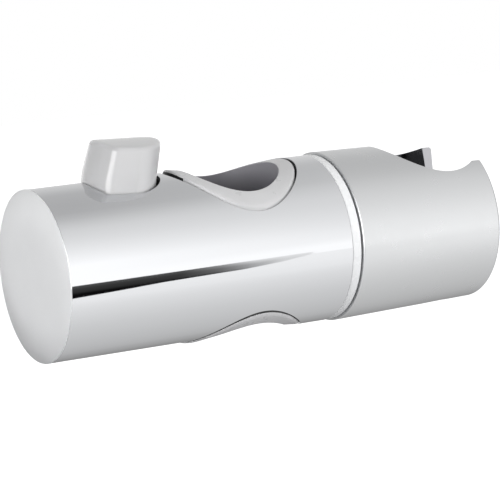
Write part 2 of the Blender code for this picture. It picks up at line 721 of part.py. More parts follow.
def release_lever():
    """Thumb lever: hollow-backed button, hub on the cross pin and arm into the brake shoe."""
    lever = button()
    for label, side in (("near", -1), ("far", 1)):
        low, high = sorted((side * CORE_RIB / 2, side * (BUTTON_HALF_WIDTH - CORE_WALL)))
        core = box(
            f"{label}_button_core_cutter",
            (BUTTON_BACK_X + BUTTON_BACK_BULGE + CORE_WALL, low, BUTTON_FOOT_Z - GAP),
            (BUTTON_NOSE_X + BUTTON_HALF_WIDTH / 2, high, BUTTON_TOP_Z - CORE_ROOF),
            as_cutter=True,
        )
        cut(lever, core)
    hub_half = LUG_INNER_Y - GAP
    pivot = (PIVOT_X, 0, PIVOT_Z)
    hub = rod("lever_hub", -hub_half, hub_half, HUB_RADIUS, "Y", pivot, as_cutter=True)
    arm = box(
        "lever_arm",
        (PIVOT_X - ARM_HALF_THICKNESS, -ARM_HALF_WIDTH + EDGE, 0),
        (PIVOT_X + ARM_HALF_THICKNESS, ARM_HALF_WIDTH - EDGE, PIVOT_Z),
        as_cutter=True,
    )
    nose = rod(
        "lever_arm_nose",
        -ARM_HALF_WIDTH,
        ARM_HALF_WIDTH,
        ARM_NOSE_RADIUS,
        "Y",
        (PIVOT_X, 0, 0),
        as_cutter=True,
    )
    join(lever, hub, arm, nose)
    bore = rod(
        "lever_bore_cutter",
        -2 * hub_half,
        2 * hub_half,
        PIN_RADIUS + GAP,
        "Y",
        pivot,
        as_cutter=True,
    )
    cut(lever, bore)
    finish(lever, "pale grey moulded acetal lever", "d3d4d3", 0.35)
    return lever


def lever_pin():
    """Plain pin that the lever rocks on, flush with the outer faces of its lugs."""
    pin = turned(
        "lever_pin",
        [
            (LUG_OUTER_Y, 0),
            (LUG_OUTER_Y, PIN_RADIUS - EDGE),
            (LUG_OUTER_Y - EDGE, PIN_RADIUS),
            (-LUG_OUTER_Y + EDGE, PIN_RADIUS),
            (-LUG_OUTER_Y, PIN_RADIUS - EDGE),
            (-LUG_OUTER_Y, 0),
        ],
        "Y",
        SMALL_ROUND,
    )
    pin.location = (PIVOT_X, 0, PIVOT_Z)
    finish(pin, "stainless steel pin", "b9bbbd", 0.25, 1.0)
    return pin


def brake_shoe():
    """Slide that carries the pad, with a pocket for the lever's arm and one for the spring."""
    shoe = box(
        "brake_shoe",
        (SHOE_BACK_X, -SHOE_HALF_WIDTH, -SHOE_HALF_HEIGHT),
        (0, SHOE_HALF_WIDTH, SHOE_HALF_HEIGHT),
        edge=SHOE_EDGE,
    )
    face_radius = RAIL_RADIUS + SHOE_FACE_GAP
    front = rod(
        "shoe_front_cutter", -OUTSIDE, OUTSIDE, face_radius, "Z", steps=ROUND, as_cutter=True
    )
    nose_reach = ARM_NOSE_RADIUS + GAP
    nose_pocket = box(
        "nose_pocket_cutter",
        (PIVOT_X - nose_reach, -ARM_HALF_WIDTH - GAP, -NOSE_POCKET_DEPTH),
        (PIVOT_X + nose_reach, ARM_HALF_WIDTH + GAP, PIVOT_Z),
        as_cutter=True,
    )
    spring_pocket = rod(
        "spring_pocket_cutter",
        SHOE_BACK_X - SPRING_POCKET_DEPTH,
        SPRING_POCKET_X,
        SPRING_RADIUS + SPRING_WIRE + GAP,
        as_cutter=True,
    )
    pad_recess = box(
        "pad_recess_cutter",
        (PAD_BACK_X - GAP, -PAD_HALF_WIDTH - GAP, -PAD_HALF_HEIGHT - GAP),
        (0, PAD_HALF_WIDTH + GAP, PAD_HALF_HEIGHT + GAP),
        as_cutter=True,
    )
    cut(shoe, front, nose_pocket, spring_pocket, pad_recess)
    finish(shoe, "black glass-filled nylon shoe", "2b2c2e", 0.5)
    return shoe


def brake_pad():
    """Rubber pad hollowed to the rail's radius, with grooves across it."""
    pad = box(
        "brake_pad",
        (PAD_BACK_X, -PAD_HALF_WIDTH, -PAD_HALF_HEIGHT),
        (0, PAD_HALF_WIDTH, PAD_HALF_HEIGHT),
    )
    face = rod(
        "pad_face_cutter", -OUTSIDE, OUTSIDE, PAD_FACE_RADIUS, "Z", steps=ROUND, as_cutter=True
    )
    cut(pad, face)
    for i, z in enumerate((-PAD_GROOVE_SPACING, 0, PAD_GROOVE_SPACING)):
        groove = rod(
            f"pad_groove_cutter_{i + 1}",
            z - PAD_GROOVE_WIDTH / 2,
            z + PAD_GROOVE_WIDTH / 2,
            PAD_FACE_RADIUS + PAD_GROOVE_DEPTH,
            "Z",
            steps=ROUND,
            as_cutter=True,
        )
        cut(pad, groove)
    finish(pad, "black moulded rubber pad", "1c1c1d", 0.8)
    return pad


def coil(name, start_x, end_x, radius, turns):
    """A compression coil along X, closed up over its first and last turn, as a solid mesh."""
    closed_pitch = 2 * SPRING_WIRE + GAP / 2
    steps = round(turns * SPRING_POINTS_PER_TURN)
    closed_turns = min(1.0, turns / 4)
    rise = end_x - start_x - 2 * closed_turns * closed_pitch
    points = []
    for i in range(steps + 1):
        turn = turns * i / steps
        inside = min(max(turn - closed_turns, 0), turns - 2 * closed_turns)
        ends = min(turn, closed_turns) + max(turn - (turns - closed_turns), 0)
        x = start_x + ends * closed_pitch + inside * rise / (turns - 2 * closed_turns)
        angle = 2 * math.pi * turn
        points.append((x, radius * math.cos(angle), radius * math.sin(angle)))
    curve = bpy.data.curves.new(name, "CURVE")
    curve.dimensions = "3D"
    curve.bevel_depth = SPRING_WIRE
    curve.bevel_resolution = 2
    curve.use_fill_caps = True
    spline = curve.splines.new("POLY")
    spline.points.add(len(points) - 1)
    for point, place_of in zip(spline.points, points):
        point.co = (*place_of, 1.0)
    spring = place(name, curve)
    finish(spring, f"spring steel wire {name}", "9a9c9f", 0.3, 1.0)
    return spring


def brake_spring():
    start_x = SPRING_SEAT_X + GAP + SPRING_WIRE
    end_x = SPRING_POCKET_X - GAP - SPRING_WIRE
    return coil("brake_spring", start_x, end_x, SPRING_RADIUS, SPRING_TURNS)


def swivel_ring():
    """Pale ring between body and holder, with a lip that locates in the body's end."""
    start_x = BODY_END_X + GAP
    end_x = start_x + RING_WIDTH
    outer = BODY_RADIUS - RING_INSET
    inner = SPIGOT_RADIUS + GAP
    lip_x = BODY_END_X - LIP_LENGTH
    profile = [
        (end_x, outer - EDGE),
        (end_x - EDGE, outer),
        (start_x + EDGE, outer),
        (start_x, outer - EDGE),
        (start_x, LIP_OUTER),
        (lip_x + EDGE, LIP_OUTER),
        (lip_x, LIP_OUTER - EDGE),
        (lip_x, LIP_INNER),
        (start_x, LIP_INNER),
        (start_x, inner),
        (end_x, inner),
    ]
    ring = turned("swivel_ring", profile, closed=True)
    finish(ring, "pale moulded acetal ring", "e2e3e3", 0.3)
    return ring


def friction_ring():
    """O-ring in the spigot's groove."""
    middle = GROOVE_START_X + GROOVE_WIDTH / 2
    centre_radius = SPIGOT_RADIUS - FRICTION_RING_SECTION
    section = arc((middle, centre_radius), FRICTION_RING_SECTION, 90, 450, 8)[:-1]
    ring = turned("friction_ring", section, steps=SMALL_ROUND, closed=True)
    finish(ring, "black rubber friction ring", "1b1b1c", 0.7)
    return ring


def threaded_insert():
    """Brass insert with two knurled bands, moulded into the spigot."""
    start_x = INSERT_START_X
    end_x = start_x + INSERT_LENGTH
    waist = INSERT_RADIUS - INSERT_WAIST_DEPTH
    bore = SCREW_RADIUS + GAP
    third = INSERT_LENGTH / 3
    profile = [
        (end_x, INSERT_RADIUS),
        (end_x - third, INSERT_RADIUS),
        (end_x - third, waist),
        (start_x + third, waist),
        (start_x + third, INSERT_RADIUS),
        (start_x, INSERT_RADIUS),
        (start_x, bore),
        (end_x, bore),
    ]
    insert = turned("threaded_insert", profile, steps=SMALL_ROUND, closed=True)
    finish(insert, "brass insert", "b8924a", 0.3, 1.0)
    return insert


def swivel_screw():
    """Pan head screw with a cross recess."""
    tip_x = INSERT_START_X + SCREW_TIP_INSET
    head_end_x = SCREW_HEAD_X + SCREW_HEAD_HEIGHT
    dome = arc(
        (SCREW_HEAD_X + SCREW_HEAD_HEIGHT / 2, SCREW_HEAD_RADIUS - SCREW_HEAD_HEIGHT / 2),
        SCREW_HEAD_HEIGHT / 2,
        0,
        90,
        4,
    )
    profile = [
        (head_end_x, 0),
        *dome,
        (SCREW_HEAD_X, SCREW_HEAD_RADIUS),
        (SCREW_HEAD_X, SCREW_RADIUS),
        (tip_x + EDGE, SCREW_RADIUS),
        (tip_x, SCREW_RADIUS - EDGE),
        (tip_x, 0),
    ]
    screw = turned("swivel_screw", profile, steps=SMALL_ROUND)
    half_length, half_width = SCREW_RECESS_LENGTH / 2, SCREW_RECESS_WIDTH / 2
    floor_x = head_end_x - SCREW_RECESS_DEPTH
    upright = box(
        "recess_upright_cutter",
        (floor_x, -half_width, -half_length),
        (head_end_x + GAP, half_width, half_length),
        as_cutter=True,
    )
    across = box(
        "recess_across_cutter",
        (floor_x, -half_length, -half_width),
        (head_end_x + GAP, half_length, half_width),
        as_cutter=True,
    )
    cut(screw, upright, across)
    finish(screw, "zinc-plated steel screw", "a9abad", 0.3, 1.0)
    return screw


def washer(name, start_x, thickness, label, colour, roughness, metallic):
    end_x = start_x + thickness
    bore = SCREW_RADIUS + GAP
    profile = [
        (end_x, WASHER_RADIUS - WASHER_EDGE),
        (end_x - WASHER_EDGE, WASHER_RADIUS),
        (start_x + WASHER_EDGE, WASHER_RADIUS),
        (start_x, WASHER_RADIUS - WASHER_EDGE),
        (start_x, bore),
        (end_x, bore),
    ]
    ring = turned(name, profile, steps=SMALL_ROUND, closed=True)
    finish(ring, label, colour, roughness, metallic)
    return ring


def swivel_spring():
    start_x = SWIVEL_SPRING_X + SPRING_WIRE
    end_x = SWIVEL_SPRING_X + SWIVEL_SPRING_LENGTH - SPRING_WIRE
    return coil("swivel_spring", start_x, end_x, SWIVEL_SPRING_RADIUS, SWIVEL_SPRING_TURNS)


def screw_cover():
    """Snap-in cover over the screw, in the wall of the socket."""
    outer = CHAMBER_RADIUS - GAP
    plate_x = COVER_X + COVER_SKIRT
    skirt_inner = outer - COVER_SKIRT_WALL
    profile = [
        (COVER_FACE_X, 0),
        (COVER_FACE_X, outer - EDGE),
        (COVER_FACE_X - EDGE, outer),
        (COVER_X, outer),
        (COVER_X, skirt_inner),
        (plate_x, skirt_inner),
        (plate_x, 0),
    ]
    cover = turned("screw_cover", profile, steps=SMALL_ROUND)
    finish(cover, "grey moulded screw cover", "8d8f91", 0.4)
    return cover


def socket_cutter():
    """Cone for the handset, wider at the top, with a steeper mouth."""
    profile = [
        (OUTSIDE, 0),
        (OUTSIDE, SOCKET_MOUTH_RADIUS + SOCKET_MOUTH_TAPER * (OUTSIDE - SOCKET_MOUTH_Z)),
        (SOCKET_MOUTH_Z, SOCKET_MOUTH_RADIUS),
        (-OUTSIDE, SOCKET_RADIUS - SOCKET_TAPER * OUTSIDE),
        (-OUTSIDE, 0),
    ]
    cone = turned("socket_cutter", profile, "Z", as_cutter=True)
    cone.location = (SOCKET_X, 0, 0)
    return cone


def hose_slot_cutter():
    """Slot out of the socket's open end, drawn in towards the bottom."""
    end_x = HOLDER_END_X + GAP
    rings = []
    for z in (-OUTSIDE, OUTSIDE):
        half = SLOT_HALF_WIDTH + SLOT_TAPER * z
        rings.append(
            [(SOCKET_X, -half, z), (end_x, -half, z), (end_x, half, z), (SOCKET_X, half, z)]
        )
    return loft("hose_slot_cutter", rings, as_cutter=True)


def holder_pocket_cutter():
    """Ring-shaped hollow behind the holder's outer wall, crossed by radial ribs."""
    inner = SPIGOT_RADIUS + GAP + HOLDER_HUB_WALL
    outer = HOLDER_END_RADIUS - HOLDER_WALL
    start_x = HOLDER_START_X - GAP
    profile = [
        (POCKET_END_X, outer),
        (start_x, outer),
        (start_x, inner),
        (POCKET_END_X, inner),
    ]
    pocket = turned("holder_pocket_cutter", profile, closed=True, as_cutter=True)
    for i in range(HOLDER_RIB_COUNT):
        rib = box(
            f"holder_rib_{i + 1}",
            (start_x - GAP, -HOLDER_RIB_WIDTH / 2, inner - EDGE),
            (POCKET_END_X + GAP, HOLDER_RIB_WIDTH / 2, outer + EDGE),
            as_cutter=True,
        )
        rib.rotation_euler = (2 * math.pi * (i + 0.25) / HOLDER_RIB_COUNT, 0, 0)
        cut(pocket, rib)
    return pocket


def handset_holder():
    """Tapered holder with its conical socket, hose slot and swivel bore."""
    end_edge = arc(
        (HOLDER_END_X - HOLDER_END_ROUNDING, HOLDER_END_RADIUS - HOLDER_END_ROUNDING),
        HOLDER_END_ROUNDING,
        0,
        90,
        3,
    )
    profile = [
        (HOLDER_END_X, 0),
        *end_edge,
        (HOLDER_START_X + EDGE, HOLDER_RADIUS),
        (HOLDER_START_X, HOLDER_RADIUS - EDGE),
        (HOLDER_START_X, 0),
    ]
    holder = turned("handset_holder", profile)
    web_hole = SCREW_RADIUS + WEB_HOLE_GAP
    swivel_bore = turned(
        "swivel_bore_cutter",
        [
            (SOCKET_X, 0),
            (SOCKET_X, CHAMBER_RADIUS),
            (WEB_END_X, CHAMBER_RADIUS),
            (WEB_END_X, web_hole),
            (WEB_START_X, web_hole),
            (WEB_START_X, SPIGOT_RADIUS + GAP),
            (HOLDER_START_X - GAP, SPIGOT_RADIUS + GAP),
            (HOLDER_START_X - GAP, 0),
        ],
        steps=SMALL_ROUND,
        as_cutter=True,
    )
    cut(holder, holder_pocket_cutter(), socket_cutter(), hose_slot_cutter(), swivel_bore)
    finish(holder, "satin chrome on moulded ABS", "cfd1d3", 0.22, 1.0)
    return holder


def main():
    clear_scene()
    new_collection(PARTS_NAME)
    new_collection(CUTTERS_NAME)
    body_shell()
    end_cap()
    rail_bush("upper_rail_bush", 1)
    rail_bush("lower_rail_bush", -1)
    lever_pin()
    brake_spring()
    swivel_ring()
    friction_ring()
    threaded_insert()
    swivel_screw()
    washer("thrust_washer", THRUST_WASHER_X, THRUST_WASHER, "white nylon washer", "e6e5e0", 0.4, 0)
    washer("screw_washer", SCREW_WASHER_X, SCREW_WASHER, "plated steel washer", "b0b2b4", 0.3, 1)
    swivel_spring()
    on_axis("lever_pivot_axis", (PIVOT_X, 0, PIVOT_Z), release_lever())
    on_axis("shoe_slide_axis", (SHOE_BACK_X, 0, 0), brake_shoe(), brake_pad())
    on_axis("holder_swivel_axis", (SPIGOT_END_X, 0, 0), handset_holder(), screw_cover())


main()
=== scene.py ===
"""Shower rail slider: polished chrome tube with a thumb lever, rail bushes and a satin holder.

Metres, in the CAD's frame: +Z runs up the riser rail, +X runs towards the handset holder, and
the origin is where the rail's axis crosses the slider's own axis.
"""

import math

import bmesh
import bpy
from mathutils import Matrix, Vector


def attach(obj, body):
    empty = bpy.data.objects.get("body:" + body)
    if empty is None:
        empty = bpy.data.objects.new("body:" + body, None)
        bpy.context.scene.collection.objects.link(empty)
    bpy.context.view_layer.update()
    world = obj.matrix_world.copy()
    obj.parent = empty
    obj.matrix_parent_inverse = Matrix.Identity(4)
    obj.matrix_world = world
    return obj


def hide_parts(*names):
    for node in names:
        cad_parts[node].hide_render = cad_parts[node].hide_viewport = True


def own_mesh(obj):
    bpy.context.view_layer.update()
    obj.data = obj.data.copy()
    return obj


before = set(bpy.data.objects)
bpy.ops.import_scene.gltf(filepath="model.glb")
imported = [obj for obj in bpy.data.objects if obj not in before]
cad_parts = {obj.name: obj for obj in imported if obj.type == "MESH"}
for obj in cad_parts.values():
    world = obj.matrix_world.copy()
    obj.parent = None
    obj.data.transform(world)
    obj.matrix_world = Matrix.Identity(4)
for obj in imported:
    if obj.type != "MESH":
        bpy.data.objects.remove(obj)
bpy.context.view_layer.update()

# Sizes as in the CAD, apart from those marked as after the photo
GAP = 0.0003  # between neighbouring pieces
EDGE = 0.0003
BUSH_BORE = 0.0126
BUSH_WALL = 0.0041
BUSH_SEAT_GAP = 0.0005
BUSH_FOOT_Z = 0.0098
BUSH_PROUD = 0.0002
BUSH_RISE = 0.0003
BUSH_DISH = 0.0004
BUSH_RADIUS = BUSH_BORE + BUSH_WALL
BUSH_SEAT_RADIUS = BUSH_RADIUS + BUSH_SEAT_GAP
BODY_RADIUS = 0.0215
BODY_START_X = -0.0544  # after the photo
BODY_END_WALL = 0.0062
BODY_END_X = BUSH_SEAT_RADIUS + BODY_END_WALL
BUTTON_NOSE_X = -0.0304
BUTTON_HALF_WIDTH = 0.0089
BUTTON_TRAVEL = 0.0011
BUTTON_BACK_LENGTH = 0.0093
BUTTON_BACK_TAPER = 0.0011
BUTTON_BACK_BULGE = 0.0022
BUTTON_CORNER = 0.0022  # after the photo
BUTTON_FOOT_Z = 0.0126
BUTTON_HEIGHT = 0.0097
BUTTON_TOP_INSET = 0.0004
BUTTON_SLOPE = -0.05
BUTTON_CROWN_RADIUS = 0.0380
BUTTON_LEAN = 0.25
BUTTON_BACK_X = BUTTON_NOSE_X - BUTTON_BACK_LENGTH
BUTTON_BACK_HALF_WIDTH = BUTTON_HALF_WIDTH - BUTTON_BACK_TAPER
BUTTON_TOP_Z = BODY_RADIUS + BUTTON_HEIGHT
SLOT_SIDE_GAP = 0.0004
SLOT_CORNER = 0.00195  # after the photo
SLOT_NOSE_X = BUTTON_NOSE_X + BUTTON_TRAVEL - SLOT_SIDE_GAP
CAP_FACE_X = -0.0547
CAP_RIM = 0.00026  # after the photo
CAP_PLATE = 0.0020
CAP_SKIRT_RADIUS = 0.0188
CAP_SKIRT_WALL = 0.0016
CAP_SKIRT_END_X = -0.0476
CAP_SKIRT_ROUNDING = 0.0002
CAP_RIM_X = CAP_FACE_X + CAP_RIM
CAP_SKIRT_INNER = CAP_SKIRT_RADIUS - CAP_SKIRT_WALL
SPRING_SEAT_X = CAP_FACE_X + CAP_PLATE
SPIGOT_RADIUS = 0.0085
SPIGOT_LENGTH = 0.0080
RING_WIDTH = 0.0023
RING_JOINT = 0.00005  # after the photo
RING_INSET = 0.00015
RING_START_X = BODY_END_X + RING_JOINT
RING_END_X = BODY_END_X + GAP + RING_WIDTH
RING_RADIUS = BODY_RADIUS - RING_INSET
RING_BORE = SPIGOT_RADIUS + GAP
LIP_INSET = 0.0040
LIP_WIDTH = 0.0029
LIP_LENGTH = 0.0018
LIP_OUTER = BODY_RADIUS - LIP_INSET
LIP_INNER = LIP_OUTER - LIP_WIDTH
LIP_X = BODY_END_X - LIP_LENGTH
WEB_THICKNESS = 0.0025
WEB_HOLE_RADIUS = 0.0026
SPIGOT_SEAT_RADIUS = SPIGOT_RADIUS + GAP
SPIGOT_SEAT_END_X = BODY_END_X + SPIGOT_LENGTH + GAP
CHAMBER_RADIUS = 0.0057
CHAMBER_START_X = SPIGOT_SEAT_END_X + WEB_THICKNESS
COVER_X = 0.0429
COVER_SKIRT = 0.0008
COVER_SKIRT_WALL = 0.0008
COVER_THICKNESS = 0.0010
COVER_INSET = 0.0012
COVER_PLATE_X = COVER_X + COVER_SKIRT
COVER_FACE_X = COVER_PLATE_X + COVER_THICKNESS
COVER_RADIUS = CHAMBER_RADIUS - GAP
COVER_SKIRT_INNER = COVER_RADIUS - COVER_SKIRT_WALL
SOCKET_RADIUS = 0.0118
SOCKET_TAPER = 0.22
SOCKET_MOUTH_Z = 0.0080
SOCKET_MOUTH_TAPER = 0.072
SOCKET_INSET = 0.0106
SOCKET_X = COVER_FACE_X + COVER_INSET + SOCKET_RADIUS
SLOT_HALF_WIDTH = 0.0095
SLOT_TAPER = 0.142
HOLDER_PROUD = 0.00045
HOLDER_DRAFT = 0.0009
HOLDER_START_X = RING_END_X + GAP
HOLDER_END_X = SOCKET_X + SOCKET_INSET
HOLDER_RADIUS = BODY_RADIUS + HOLDER_PROUD
HOLDER_END_RADIUS = HOLDER_RADIUS - HOLDER_DRAFT

# Reach of the helpers that pieces are carved with
OUTSIDE = 0.030
OVERCUT = 0.001
TUBE_INSIDE_X = (-0.060, 0.040)
CAP_RIBS_END_X = -0.040
CAP_RIBS_GAP = 0.0001
WORKS_LOW = (-0.05, -0.02, -0.01)
WORKS_HIGH_X, WORKS_HIGH_Y = -0.01, 0.02
INSIDE_GAP = 0.00002  # what a kept inside leaves free below the surface made over it

# Finish of the shown surfaces
ROUND = 240
SMALL_ROUND = 96
RIBS_ROUND = 64
ROUNDING_STEPS = 6
SLICES = 300
SHARP_ANGLE = math.radians(33)
SKIN_THICKNESS = 0.0009
RIM_ROUNDING = 0.00015
CAP_ROUNDING = 0.0001
CAP_FLAT_RADIUS = 0.0145
CAP_DROP = 0.00015
CAP_PILLOW = BODY_RADIUS - CAP_FLAT_RADIUS
DOME_FLAT_RADIUS = 0.010
DOME_HEIGHT = 0.0038
DOME_POWER = 2.5
DOME_ACROSS = 0.75  # how much a step across counts against a step up
CAP_RINGS = (0.0, 0.15, 0.3, 0.45, 0.6, 0.75, 0.9)  # shares of the pillow's width
BUSH_OUTER_ROUNDING = 0.0006
BUSH_INNER_ROUNDING = 0.0005
BUSH_FACE_RINGS = 4
OPENING_STRETCH = 0.0013  # how far the upper opening reaches past its bush towards the lever
STRETCH_POWER = 12  # high, so that only the opening's end moves
WALL_SHADE_X = {1: -0.0157, -1: 0.03}  # how far right the upper and lower walls carry painted shade
BORE_DARK_Z, BORE_LIGHT_Z = 0.0112, 0.0185  # where the bore's painted shade is darkest and where it ends, from the axis out to the bore's mouth
BUSH_SHADE_REACH = 0.00005  # how far the painted shade of the bore and of the wall reaches on to the lips
BUTTON_ROUNDING = 0.0011
BUTTON_FRONT_STEPS = 72
BUTTON_BACK_STEPS = 24
BUTTON_BACK_CUT = 4  # of the back's steps that each rounded corner takes up
BUTTON_STEPS = 8
BUTTON_TOP_RINGS = (0.25, 0.4, 0.55, 0.7, 0.85, 0.97)  # shares of the way to the middle
LEAN_EASE = 0.0025
HOLDER_END_ROUNDING = 0.0008
HOLDER_EDGE = 0.00012
HOLDER_EDGE_STEPS = 3
HOLDER_EDGE_ANGLE = math.radians(30)
SOCKET_RIM = 0.0006  # height of the bright rim above the dark socket
SOCKET_REACH = 0.016
SOCKET_FACING, WALL_FACING = 0.8, 0.9  # how squarely a dark or dull face looks that way
WELD = 1e-7  # points of a turned shape that are nearer than this are one
SNAP = 1e-6  # the same for a CAD copy and the rolled sheet


# Materials


def linear(channel):
    return channel / 12.92 if channel <= 0.04045 else ((channel + 0.055) / 1.055) ** 2.4


def colour(code):
    return (*(linear(int(code[i : i + 2], 16) / 255) for i in (0, 2, 4)), 1.0)


def add_node(tree, kind, settings=None, values=None, links=None, stops=()):
    """Adds a node with its settings, its sockets' constants, what runs into them and, for a
    colour ramp, its stops as (place, grey) or (place, RGBA)."""
    node = tree.nodes.new(kind)
    for name, value in (settings or {}).items():
        setattr(node, name, value)
    for name, value in (values or {}).items():
        node.inputs[name].default_value = value
    for name, source in (links or {}).items():
        tree.links.new(source, node.inputs[name])
    if stops:
        elements = node.color_ramp.elements
        while len(elements) < len(stops):
            elements.new(0.5)
        for element, (place, shade) in zip(elements, stops):
            element.position = place
            element.color = shade if isinstance(shade, tuple) else (shade, shade, shade, 1.0)
    return node


def new_material(name):
    material = bpy.data.materials.new(name)
    material.use_nodes = True
    tree = material.node_tree
    coords = add_node(tree, "ShaderNodeTexCoord").outputs["Object"]
    return material, tree, tree.nodes["Principled BSDF"], coords


# Patterns' sizes are in millimetres from here on. Grain that is too fine to show in the render
# is drawn as coarse as it needs to show.
METRE = 1000.0
SMEAR_SIZE = 3.85  # patches where a metal's polish differs
GLOSS_SIZE = 2.5  # patches where a plastic's gloss differs
CLOUD_SIZE = 11.1  # clouds in a plastic's tint
CLOUD_EDGES = (0.35, 0.65)
NOISE_MIDDLE = {"From Min": 0.3, "From Max": 0.7}  # range that holds most of a noise
GLOW_DEPTHS = (0.0012, 0.0011, 0.0010)  # how far red, green and blue light gets, in metres


def gloss_and_relief(tree, shader, coords, patches, roughness, grain, detail, height):
    """Gloss that differs from patch to patch between two roughnesses, and a fine relief."""
    gloss = add_node(
        tree,
        "ShaderNodeTexNoise",
        values={"Scale": METRE / patches, "Detail": 3.0},
        links={"Vector": coords},
    )
    uneven = add_node(
        tree,
        "ShaderNodeMapRange",
        values={**NOISE_MIDDLE, "To Min": roughness[0], "To Max": roughness[1]},
        links={"Value": gloss.outputs["Fac"]},
    )
    tree.links.new(uneven.outputs["Result"], shader.inputs["Roughness"])
    relief = add_node(
        tree,
        "ShaderNodeTexNoise",
        values={"Scale": METRE / grain, "Detail": detail},
        links={"Vector": coords},
    )
    bump = add_node(
        tree,
        "ShaderNodeBump",
        values={"Distance": height / METRE, "Strength": 1.0},
        links={"Height": relief.outputs["Fac"]},
    )
    tree.links.new(bump.outputs["Normal"], shader.inputs["Normal"])


def metal(name, tint, roughness, wave, height):
    """Plated or drawn metal: slightly uneven polish and a faint waviness."""
    material, tree, shader, coords = new_material(name)
    shader.inputs["Base Color"].default_value = colour(tint)
    shader.inputs["Metallic"].default_value = 1.0
    gloss_and_relief(tree, shader, coords, SMEAR_SIZE, roughness, wave, 1.0, height)
    return material


def plastic(name, light, dark, roughness, grain, height, scatter=0.0, flow=1.0, gloss=None):
    """Moulded plastic: cloudy tint, uneven gloss and a fine skin, drawn out along Z by flow."""
    material, tree, shader, coords = new_material(name)
    drawn_out = add_node(
        tree,
        "ShaderNodeVectorMath",
        settings={"operation": "MULTIPLY"},
        values={1: (1, 1, flow)},
        links={0: coords},
    ).outputs["Vector"]
    clouds = add_node(
        tree,
        "ShaderNodeTexNoise",
        values={"Scale": METRE / CLOUD_SIZE, "Detail": 2.0},
        links={"Vector": drawn_out},
    )
    tint = add_node(
        tree,
        "ShaderNodeValToRGB",
        links={"Fac": clouds.outputs["Fac"]},
        stops=list(zip(CLOUD_EDGES, (colour(dark), colour(light)))),
    )
    tree.links.new(tint.outputs["Color"], shader.inputs["Base Color"])
    constants = {
        "Subsurface Weight": scatter,
        "Subsurface Radius": GLOW_DEPTHS,
        "Subsurface Scale": 1.0,
        **(gloss or {}),
    }
    for socket, value in constants.items():
        shader.inputs[socket].default_value = value
    gloss_and_relief(tree, shader, drawn_out, GLOSS_SIZE, roughness, grain, 4.0, height)
    return material


def dome_shading(material):
    """Shades the end disc's nearly flat face as a soft dome, falling more above and below."""
    tree = material.node_tree
    relief = tree.nodes["Bump"]
    place = add_node(tree, "ShaderNodeTexCoord").outputs["Object"]
    in_plane = add_node(
        tree,
        "ShaderNodeVectorMath",
        settings={"operation": "MULTIPLY"},
        values={1: (0, DOME_ACROSS, 1)},
        links={0: place},
    )
    radius = add_node(
        tree,
        "ShaderNodeVectorMath",
        settings={"operation": "LENGTH"},
        links={0: in_plane.outputs["Vector"]},
    )
    share = add_node(
        tree,
        "ShaderNodeMapRange",
        values={"From Min": DOME_FLAT_RADIUS, "From Max": BODY_RADIUS},
        links={"Value": radius.outputs["Value"]},
    )
    fall = add_node(
        tree,
        "ShaderNodeMath",
        settings={"operation": "POWER"},
        values={1: DOME_POWER},
        links={0: share.outputs["Result"]},
    )
    dome = add_node(
        tree,
        "ShaderNodeBump",
        settings={"invert": True},
        values={"Distance": DOME_HEIGHT, "Strength": 1.0},
        links={"Height": fall.outputs["Value"]},
    )
    tree.links.new(dome.outputs["Normal"], relief.inputs["Normal"])


def paint_bore_shade(material):
    """Paints shade into the bushes' bores, darker from their mouths inwards."""
    tree = material.node_tree
    place = add_node(tree, "ShaderNodeTexCoord").outputs["Object"]
    apart = add_node(tree, "ShaderNodeSeparateXYZ", links={"Vector": place})
    height = add_node(
        tree,
        "ShaderNodeMath",
        settings={"operation": "ABSOLUTE"},
        links={0: apart.outputs["Z"]},
    )
    share = add_node(
        tree,
        "ShaderNodeMapRange",
        values={"From Min": BORE_DARK_Z, "From Max": BORE_LIGHT_Z},
        links={"Value": height.outputs["Value"]},
    )
    shade = add_node(
        tree,
        "ShaderNodeValToRGB",
        links={"Fac": share.outputs["Result"]},
        stops=[(0.0, colour("47464b")), (1.0, colour("8c8b91"))],
    )
    tree.links.new(shade.outputs["Color"], tree.nodes["Principled BSDF"].inputs["Base Color"])


# Bright chrome plating on moulded ABS: a cool mirror with the faintest waves
POLISHED_CHROME = metal("polished_chrome", "cecfd1", (0.028, 0.05), 14.3, 0.0016)
# Softer chrome plating on moulded ABS: a silky grey sheen without clear reflections
SATIN_CHROME = metal("satin_chrome", "cccdce", (0.27, 0.31), 14.3, 0.0016)
# Pale grey moulded ABS with a fine satin skin: nearly white, with no clear highlight
CAP_PLASTIC = plastic("cap_plastic", "f4f5f6", "f2f3f4", (0.42, 0.50), 0.385, 0.003)
dome_shading(CAP_PLASTIC)
# Pale grey moulded acetal of the lever: waxy, with a broad soft highlight along its corner
LEVER_PLASTIC = plastic(
    "lever_plastic",
    "c7c7c8",
    "c5c5c6",
    (0.28, 0.30),
    1.11,
    0.0001,
    scatter=0.1,
    flow=0.3,
    gloss={"IOR": 1.6, "Coat Weight": 0.6, "Coat Roughness": 0.2},
)
# Grey moulded acetal of the bushes: light, with a mild gloss
BUSH_PLASTIC = plastic("bush_plastic", "cececf", "cacacb", (0.26, 0.34), 1.11, 0.0006)
# The bushes' bores, dull: mid grey at the mouth and darker further in, painted shade where less
# light gets in
SHADED_BORE_PLASTIC = plastic("bore_painted_shade", "848389", "7c7b81", (0.40, 0.50), 1.11, 0.002)
paint_bore_shade(SHADED_BORE_PLASTIC)
# The bushes' outer walls, painted black as shade: a thin dark gap beside the collar
SHADED_WALL_PLASTIC = plastic("wall_painted_shade", "1c1d1e", "18191a", (0.40, 0.50), 1.11, 0.002)
# Moulded ABS inside the tube, dark and dull: painted shade that keeps the gaps round the lever and
# the bushes dark
SHADED_INSIDE_ABS = plastic("inside_painted_shade", "3a3b3c", "333435", (0.45, 0.60), 1.11, 0.004)
# Pale moulded acetal of the swivel ring: nearly white, with a soft gloss
RING_PLASTIC = plastic("ring_plastic", "f0f1f2", "eff0f1", (0.24, 0.30), 1.11, 0.001)
